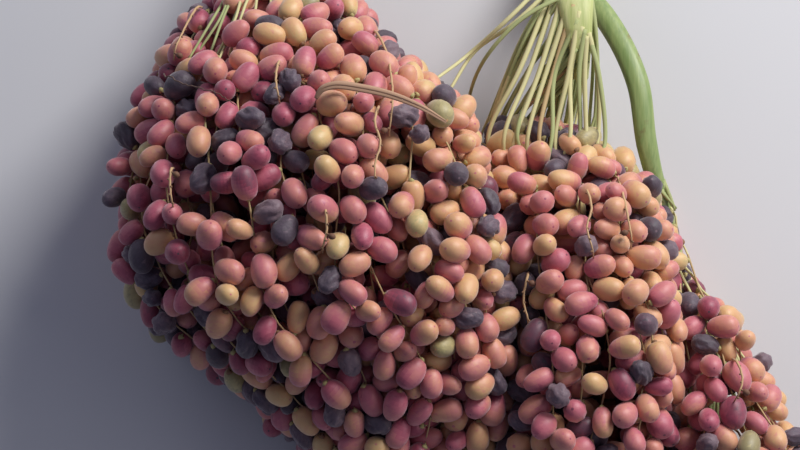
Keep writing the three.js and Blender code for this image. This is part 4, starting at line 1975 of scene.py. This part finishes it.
@dataclass
class LooseEnds:
    """Leads, bare ends of strands, a dry shred of the sheath and a dead twig, all on top of the dates.

    Routes are x and y. The height comes from the skin of the bunch under them.
    """

    skins: Skins
    heaps: Sequence[Heap]
    fans: Sequence[LeadFan]
    rng: Rng
    bare_ends: Sequence[tuple[int, Sequence[Pair]]] = (
        (2, ((-95, 64), (-99, 38), (-93, 16), (-99, -12), (-96, -42))),
        (2, ((-102, 176), (-88, 138), (-81, 94), (-80, 64), (-84, 28))),
        (4, ((-152, -50), (-150, -83), (-155, -102))),
        (0, ((-318, -6), (-319, -28), (-316, -52))),
        (0, ((-300, 209), (-310, 184), (-318, 159), (-326, 133))),
        (3, ((-204, 120), (-207, 92), (-203, 66))),
        (5, ((133, -6), (139, -41), (133, -64), (141, -96))),
        (6, ((174, -12), (179, -50), (183, -84))),
        (6, ((70, -108), (64, -140), (70, -168))),
        (8, ((300, -200), (306, -226), (298, -250))),
    )
    shred: Sequence[Triple] = (
        (-163, 66, -4), (-156, 75, 6), (-142, 79, 11), (-115, 76, 12),
        (-83, 69, 13), (-50, 56, 16), (-22, 42, 10))
    shred_width: float = 4.8
    shred_steps: int = 40
    shred_flatness: float = 0.22
    shred_edge: Triple = (0.0, 1.6, 1.1)
    edge_flatness: float = 0.3
    stray: float = 3.5
    lead_tints: Triple = (0.56, 0.4, 0.04)
    kink: float = 0.3
    bare_lift: float = -4.5
    dive: float = 24.0
    bare_radii: Pair = (1.6, 0.9)
    stub: Sequence[Triple] = ((0, 0, 0), (1.5, -1.2, 0.6), (2.4, -1.8, 1.0))
    stub_radii: tuple[float, ...] = (0.8, 1.3, 0.7)
    fruitlet: Sequence[Triple] = (
        (0, 0, 0), (1.6, -1, 0), (3.8, -2, 0), (6, -3, 0), (7.4, -3.6, 0))
    fruitlet_radii: tuple[float, ...] = (1.2, 3.0, 3.7, 2.8, 1.0)
    fruitlet_share: float = 0.1
    fan_steps: int = 28
    fan_flatness: float = 0.7
    uneven_leaving: float = 0.05
    twig: Sequence[Triple] = (
        (-333, 103, 6), (-303, 86, 4), (-274, 74, 3), (-249, 58, 1))
    twig_steps: int = 24
    twig_roughness: float = 0.9
    twig_radii: Pair = (0.9, 0.5)

    def build(self) -> None:
        """Make the bare ends hank by hank, then the fans of leads, the shred and the twig."""
        names = [f"{heap.name}_hank_{hank + 1}" for heap in self.heaps for hank in range(heap.hanks)]
        by_node: dict[str, MeshBuffer] = {}
        for hank, route in self.bare_ends:
            self._bare_end(by_node.setdefault(names[hank], MeshBuffer()), np.array(route, float))
        for node, buffer in by_node.items():
            buffer.hand_over(self.skins, f"{node}_bare_ends", node, PALE_SLOT)
        for fan in self.fans:
            self._fan(fan).hand_over(self.skins, fan.name, fan.node, PALE_SLOT)
        self._dry_shred().hand_over(self.skins, "left_dry_shred", names[2], PALE_SLOT)
        self._dead_twig().hand_over(self.skins, "left_dead_twig", names[0], PALE_SLOT)

    def _dry_shred(self) -> MeshBuffer:
        """Gather the shred: a flat strip that swells in its middle, with a raised edge.

        Returns:
            The gathered mesh.
        """
        buffer = MeshBuffer()
        line = self._over(np.array(self.shred, float), self.shred_steps)
        swell = np.sin(np.linspace(0.25, math.pi - 0.1, len(line))) ** 0.6
        tints = self._tints(line, Part.HUSK)
        add_tube(buffer, line, self.shred_width * swell, 8, tints, self.shred_flatness)
        edge = line + np.array(self.shred_edge)
        add_tube(buffer, edge, 0.5 * self.shred_width * swell, 6, tints, self.edge_flatness)
        return buffer

    def _dead_twig(self) -> MeshBuffer:
        """Gather the twig: a thin crooked stick.

        Returns:
            The gathered mesh.
        """
        buffer = MeshBuffer()
        line = self._over(np.array(self.twig, float), self.twig_steps)
        line += self.rng.normal(0, self.twig_roughness, line.shape)
        add_tube(buffer, line, np.linspace(*self.twig_radii, len(line)), 6, self._tints(line, Part.TWIG))
        return buffer

    def _tints(self, line: Array, part: Part) -> Array:
        """The one tint of a small part, for each point of its line."""
        return np.full(len(line), self.skins.part_index[part])

    def _fan(self, fan: LeadFan) -> MeshBuffer:
        """Gather the leads of one fan, from the stalk's upper face to under the dates.

        Args:
            fan: the fan.

        Returns:
            The gathered mesh.
        """
        buffer = MeshBuffer()
        first, last = fan.leaves
        choices = [Part.STRAND, Part.GREEN_STRAND, Part.RIPE_STRAND]
        for share in np.linspace(-1, 1, fan.leads):
            strayed = self.rng.uniform(-self.uneven_leaving, self.uneven_leaving)
            place = np.array([first + (last - first) * (share + 1) / 2 + strayed])
            root, width, thick = (value[0] for value in fan.stalk.at(place))
            _, across, over = (value[0] for value in fan.stalk.frames(place))
            aside = math.copysign(SUNK_ROOT, across[0]) * share * width
            start = root + across * aside + over * (SUNK_ROOT * thick * math.sqrt(1 - 0.7 * share**2))
            spots = np.array([(x + share * half, y, lift) for x, y, half, lift in fan.spots])
            spots += self.rng.normal(0, self.stray, spots.shape)
            way = catmull(np.vstack([start, self._raise(spots)]), np.linspace(0, 1, self.fan_steps))
            line = soften(way, 3)
            tint = self.rng.choice(choices, p=self.lead_tints)
            radii = np.linspace(*fan.radii, len(line))
            add_tube(buffer, line, radii, 6, self._tints(line, tint), self.fan_flatness)
        return buffer

    def _over(self, route: Array, steps: int) -> Array:
        """A smooth line over the heaps, at the heights above their skin that the route gives."""
        return self._raise(catmull(route, np.linspace(0, 1, steps)))

    def _raise(self, points: Array) -> Array:
        """Points whose heights are counted from the skin under them, brought to their real heights."""
        skin = np.max([heap.skin_under(points[:, 0], points[:, 1]) for heap in self.heaps], axis=0)
        return np.column_stack([points[:, :2], skin + points[:, 2]])

    def _bare_end(self, buffer: MeshBuffer, route: Array) -> None:
        """Add one zigzag end with the stubs of lost dates and a few withered fruitlets.

        Args:
            buffer: where it is gathered.
            route: the x and y of the places that it passes.
        """
        line = self._over(np.column_stack([route, np.full(len(route), self.bare_lift)]), len(route) * 4)
        zigzag = self.kink * np.where(np.arange(len(line)) % 2, 1, -1)
        line[:, 0] += zigzag * self.rng.uniform(0.2, 1, len(line))
        line[:, 2] -= self.dive * np.abs(np.linspace(-1, 1, len(line))) ** 8
        add_tube(buffer, line, np.linspace(*self.bare_radii, len(line)), 6, self._tints(line, Part.BARE_END))
        for k in range(2, len(line) - 1, 2):
            turned = np.array([self.rng.choice([-1, 1]), 1, 1])
            stub = line[k] + np.array(self.stub) * turned
            add_tube(buffer, stub, np.array(self.stub_radii), 6, self._tints(stub, Part.DRY_CALYX))
            if self.rng.random() < self.fruitlet_share:
                bead = stub[-1] + np.array(self.fruitlet) * turned
                add_tube(buffer, bead, np.array(self.fruitlet_radii), 8, self._tints(bead, Part.FRUITLET))


# The stage


@dataclass(frozen=True)
class Lamp:
    """One square soft light, aimed at the plant: its place and size in metres, its power in watts."""

    name: str
    place: Triple
    size: float
    power: float
    colour: Triple

    def build(self) -> None:
        """Hang the light and aim it."""
        data = bpy.data.lights.new(self.name, "AREA")
        data.size = self.size
        data.energy = self.power
        data.color = self.colour
        light = bpy.data.objects.new(self.name, data)
        light.location = self.place
        light.rotation_euler = Vector(self.place).to_track_quat("Z", "Y").to_euler()
        bpy.context.scene.collection.objects.link(light)


@dataclass
class Studio:
    """A plain pale floor, soft light from the stalks' side, and the camera that looks down."""

    pixel: float = 1.15
    frame_width: int = 800
    middle: Triple = (-72.0, -38.0, 120.0)
    elevation: float = 80.0
    distance: float = 2900.0
    lamps: tuple[Lamp, ...] = (
        Lamp("key", (1.75, 2.05, 2.0), 1.4, 124, (1.0, 0.985, 0.99)),
        Lamp("fill", (-1.6, 1.5, 1.6), 1.8, 7, (0.8, 0.84, 1.0)),
        Lamp("rim", (1.9, -0.6, 1.3), 1.2, 8, (1.0, 0.97, 0.97)),
    )
    room_colour: Rgba = (0.62, 0.67, 1.0, 1)
    room_strength: float = 0.175
    floor_reach: float = 6.0
    floor_colour: Rgba = (0.64, 0.64, 0.64, 1)

    def build(self) -> None:
        """Make floor, lights and camera."""
        self._floor()
        self._camera()
        for lamp in self.lamps:
            lamp.build()
        world = bpy.data.worlds.new("soft_room")
        world.use_nodes = True
        background = world.node_tree.nodes["Background"]
        background.inputs["Color"].default_value = self.room_colour
        background.inputs["Strength"].default_value = self.room_strength
        bpy.context.scene.world = world
        bpy.context.scene.view_settings.view_transform = "Standard"

    def _floor(self) -> None:
        """A pale sheet, well past the view on every side."""
        mesh = bpy.data.meshes.new("floor")
        far = self.floor_reach
        corners = [(-far, -far, 0), (far, -far, 0), (far, far, 0), (-far, far, 0)]
        mesh.from_pydata(corners, [], [(0, 1, 2, 3)])
        floor = bpy.data.objects.new("floor", mesh)
        bpy.context.scene.collection.objects.link(floor)
        graph = Graph("pale_floor")
        graph.surface(Base_Color=self.floor_colour, Roughness=0.9)
        mesh.materials.append(graph.material)

    def _camera(self) -> None:
        """Aim the camera so that one picture pixel covers the same length as in the photograph."""
        tilt = math.radians(self.elevation)
        aim = Vector(self.middle) * METRES
        back = Vector((0, -math.cos(tilt), math.sin(tilt)))
        data = bpy.data.cameras.new("camera")
        data.sensor_fit = "HORIZONTAL"
        data.angle = 2 * math.atan(self.frame_width * self.pixel / 2 / self.distance)
        camera = bpy.data.objects.new("camera", data)
        camera.location = aim + back * self.distance * METRES
        camera.rotation_euler = back.to_track_quat("Z", "Y").to_euler()
        bpy.context.scene.collection.objects.link(camera)
        bpy.context.scene.camera = camera


# The plant's own sizes


def bunches() -> tuple[Heap, Heap, Heap]:
    """Lay out the bunches. A station is a y, the left edge, the right edge and the crest.

    Returns:
        The left, the middle and the right bunch.
    """
    left = Heap("left", 5, -30, (
        (262, -292, -140, 130), (232, -322, -100, 182), (200, -350, -76, 222), (90, -395, 2, 310),
        (-30, -417, 33, 345), (-145, -385, 52, 325), (-235, -262, 51, 262), (-330, -178, 20, 175),
        (-385, -120, -36, 95)), parting=(-266, 184, 17, 34))
    middle = Heap("middle", 2, -20, (
        (98, 22, 88, 95), (84, 8, 128, 125), (62, 2, 198, 162), (-20, 28, 226, 238), (-145, 45, 240, 272),
        (-260, 44, 238, 262), (-375, 30, 221, 205), (-425, 66, 205, 150), (-466, 106, 176, 85)), left)
    right = Heap("right", 2, -260, (
        (16, 208, 244, 104), (-12, 212, 251, 112), (-38, 222, 260, 114), (-90, 240, 276, 135),
        (-145, 240, 330, 180), (-260, 236, 384, 215), (-362, 230, 418, 190), (-410, 212, 403, 150),
        (-454, 225, 335, 85)), middle)
    return left, middle, right


def stalks() -> tuple[Stalk, Stalk, Stalk]:
    """Lay out the stalks. A place on a route is an x, a y, a z, the width and the thickness.

    Returns:
        The stalks of the left, the middle and the right bunch.
    """
    pale = StalkRind("pale_rind", (170, 180, 106), (200, 202, 138))
    green = StalkRind("green_rind", (122, 144, 84), (150, 166, 104), roughness=0.36)
    left = Stalk("left_stalk", (
        (-262, 466, 13, 52, 25), (-240, 400, 44, 47, 22), (-216, 342, 112, 42, 19),
        (-209, 312, 124, 30, 15), (-213, 288, 114, 17, 11)), (0.5, 0.95), pale, PALE_SLOT)
    middle = Stalk("middle_stalk", (
        (150, 440, 12, 50, 23), (140, 360, 52, 47, 21), (132, 270, 118, 44, 19),
        (131, 215, 150, 42, 17), (135, 170, 150, 28, 14), (138, 132, 132, 16, 10)),
        (0.45, 0.92), pale, PALE_SLOT)
    right = Stalk("right_stalk", (
        (92, 365, 12, 34, 23), (116, 290, 34, 31, 22), (170, 224, 68, 28, 20),
        (206, 140, 90, 27, 19), (217, 62, 86, 25, 18), (240, -18, 56, 17, 12)),
        (0.9, 1.0), green, "green_stalk")
    return left, middle, right


def lead_fans(left: Stalk, middle: Stalk) -> tuple[LeadFan, ...]:
    """Lay out the leads that show between the pale stalks and the dates.

    Args:
        left: the left bunch's stalk.
        middle: the middle bunch's stalk.

    Returns:
        The fans.
    """
    return (
        LeadFan("left_showing_leads", "left_hank_2", left, 7, (0.66, 0.92),
                ((-250, 236, 16, -14), (-264, 186, 22, -22), (-284, 134, 30, -46)), (2.1, 1.4)),
        LeadFan("middle_showing_leads", "middle_hank_1", middle, 13, (0.48, 0.8),
                ((112, 134, 44, 150), (98, 62, 66, -8), (98, 30, 60, -46)), (3.4, 2.0)),
        LeadFan("middle_stray_leads", "middle_hank_1", middle, 3, (0.42, 0.48),
                ((64, 196, 9, 150), (16, 162, 11, 130), (-14, 114, 15, -12)), (3.0, 1.9)),
    )


def main() -> None:
    """Build the stage, the stalks and the dressed bunches."""
    rng = np.random.default_rng(SEED)
    Studio().build()
    heaps = bunches()
    limbs = stalks()
    for stalk in limbs:
        stalk.build(rng)
        LOG.info("%s", stalk.name)
    plan = StrandPlan()
    strands = [strand for heap, stalk in zip(heaps, limbs) for strand in plan.lay(heap, stalk, rng)]
    settling = Settling()
    fruit = settling.hang(strands, rng)
    settling.settle(fruit, strands)
    LOG.info("%d strands, %d dates", len(strands), len(fruit.node))
    skins = Skins()
    BunchDresser(skins, strands, fruit, rng).dress()
    LooseEnds(skins, heaps, lead_fans(limbs[0], limbs[1]), rng).build()


if __name__ == "__main__":
    main()
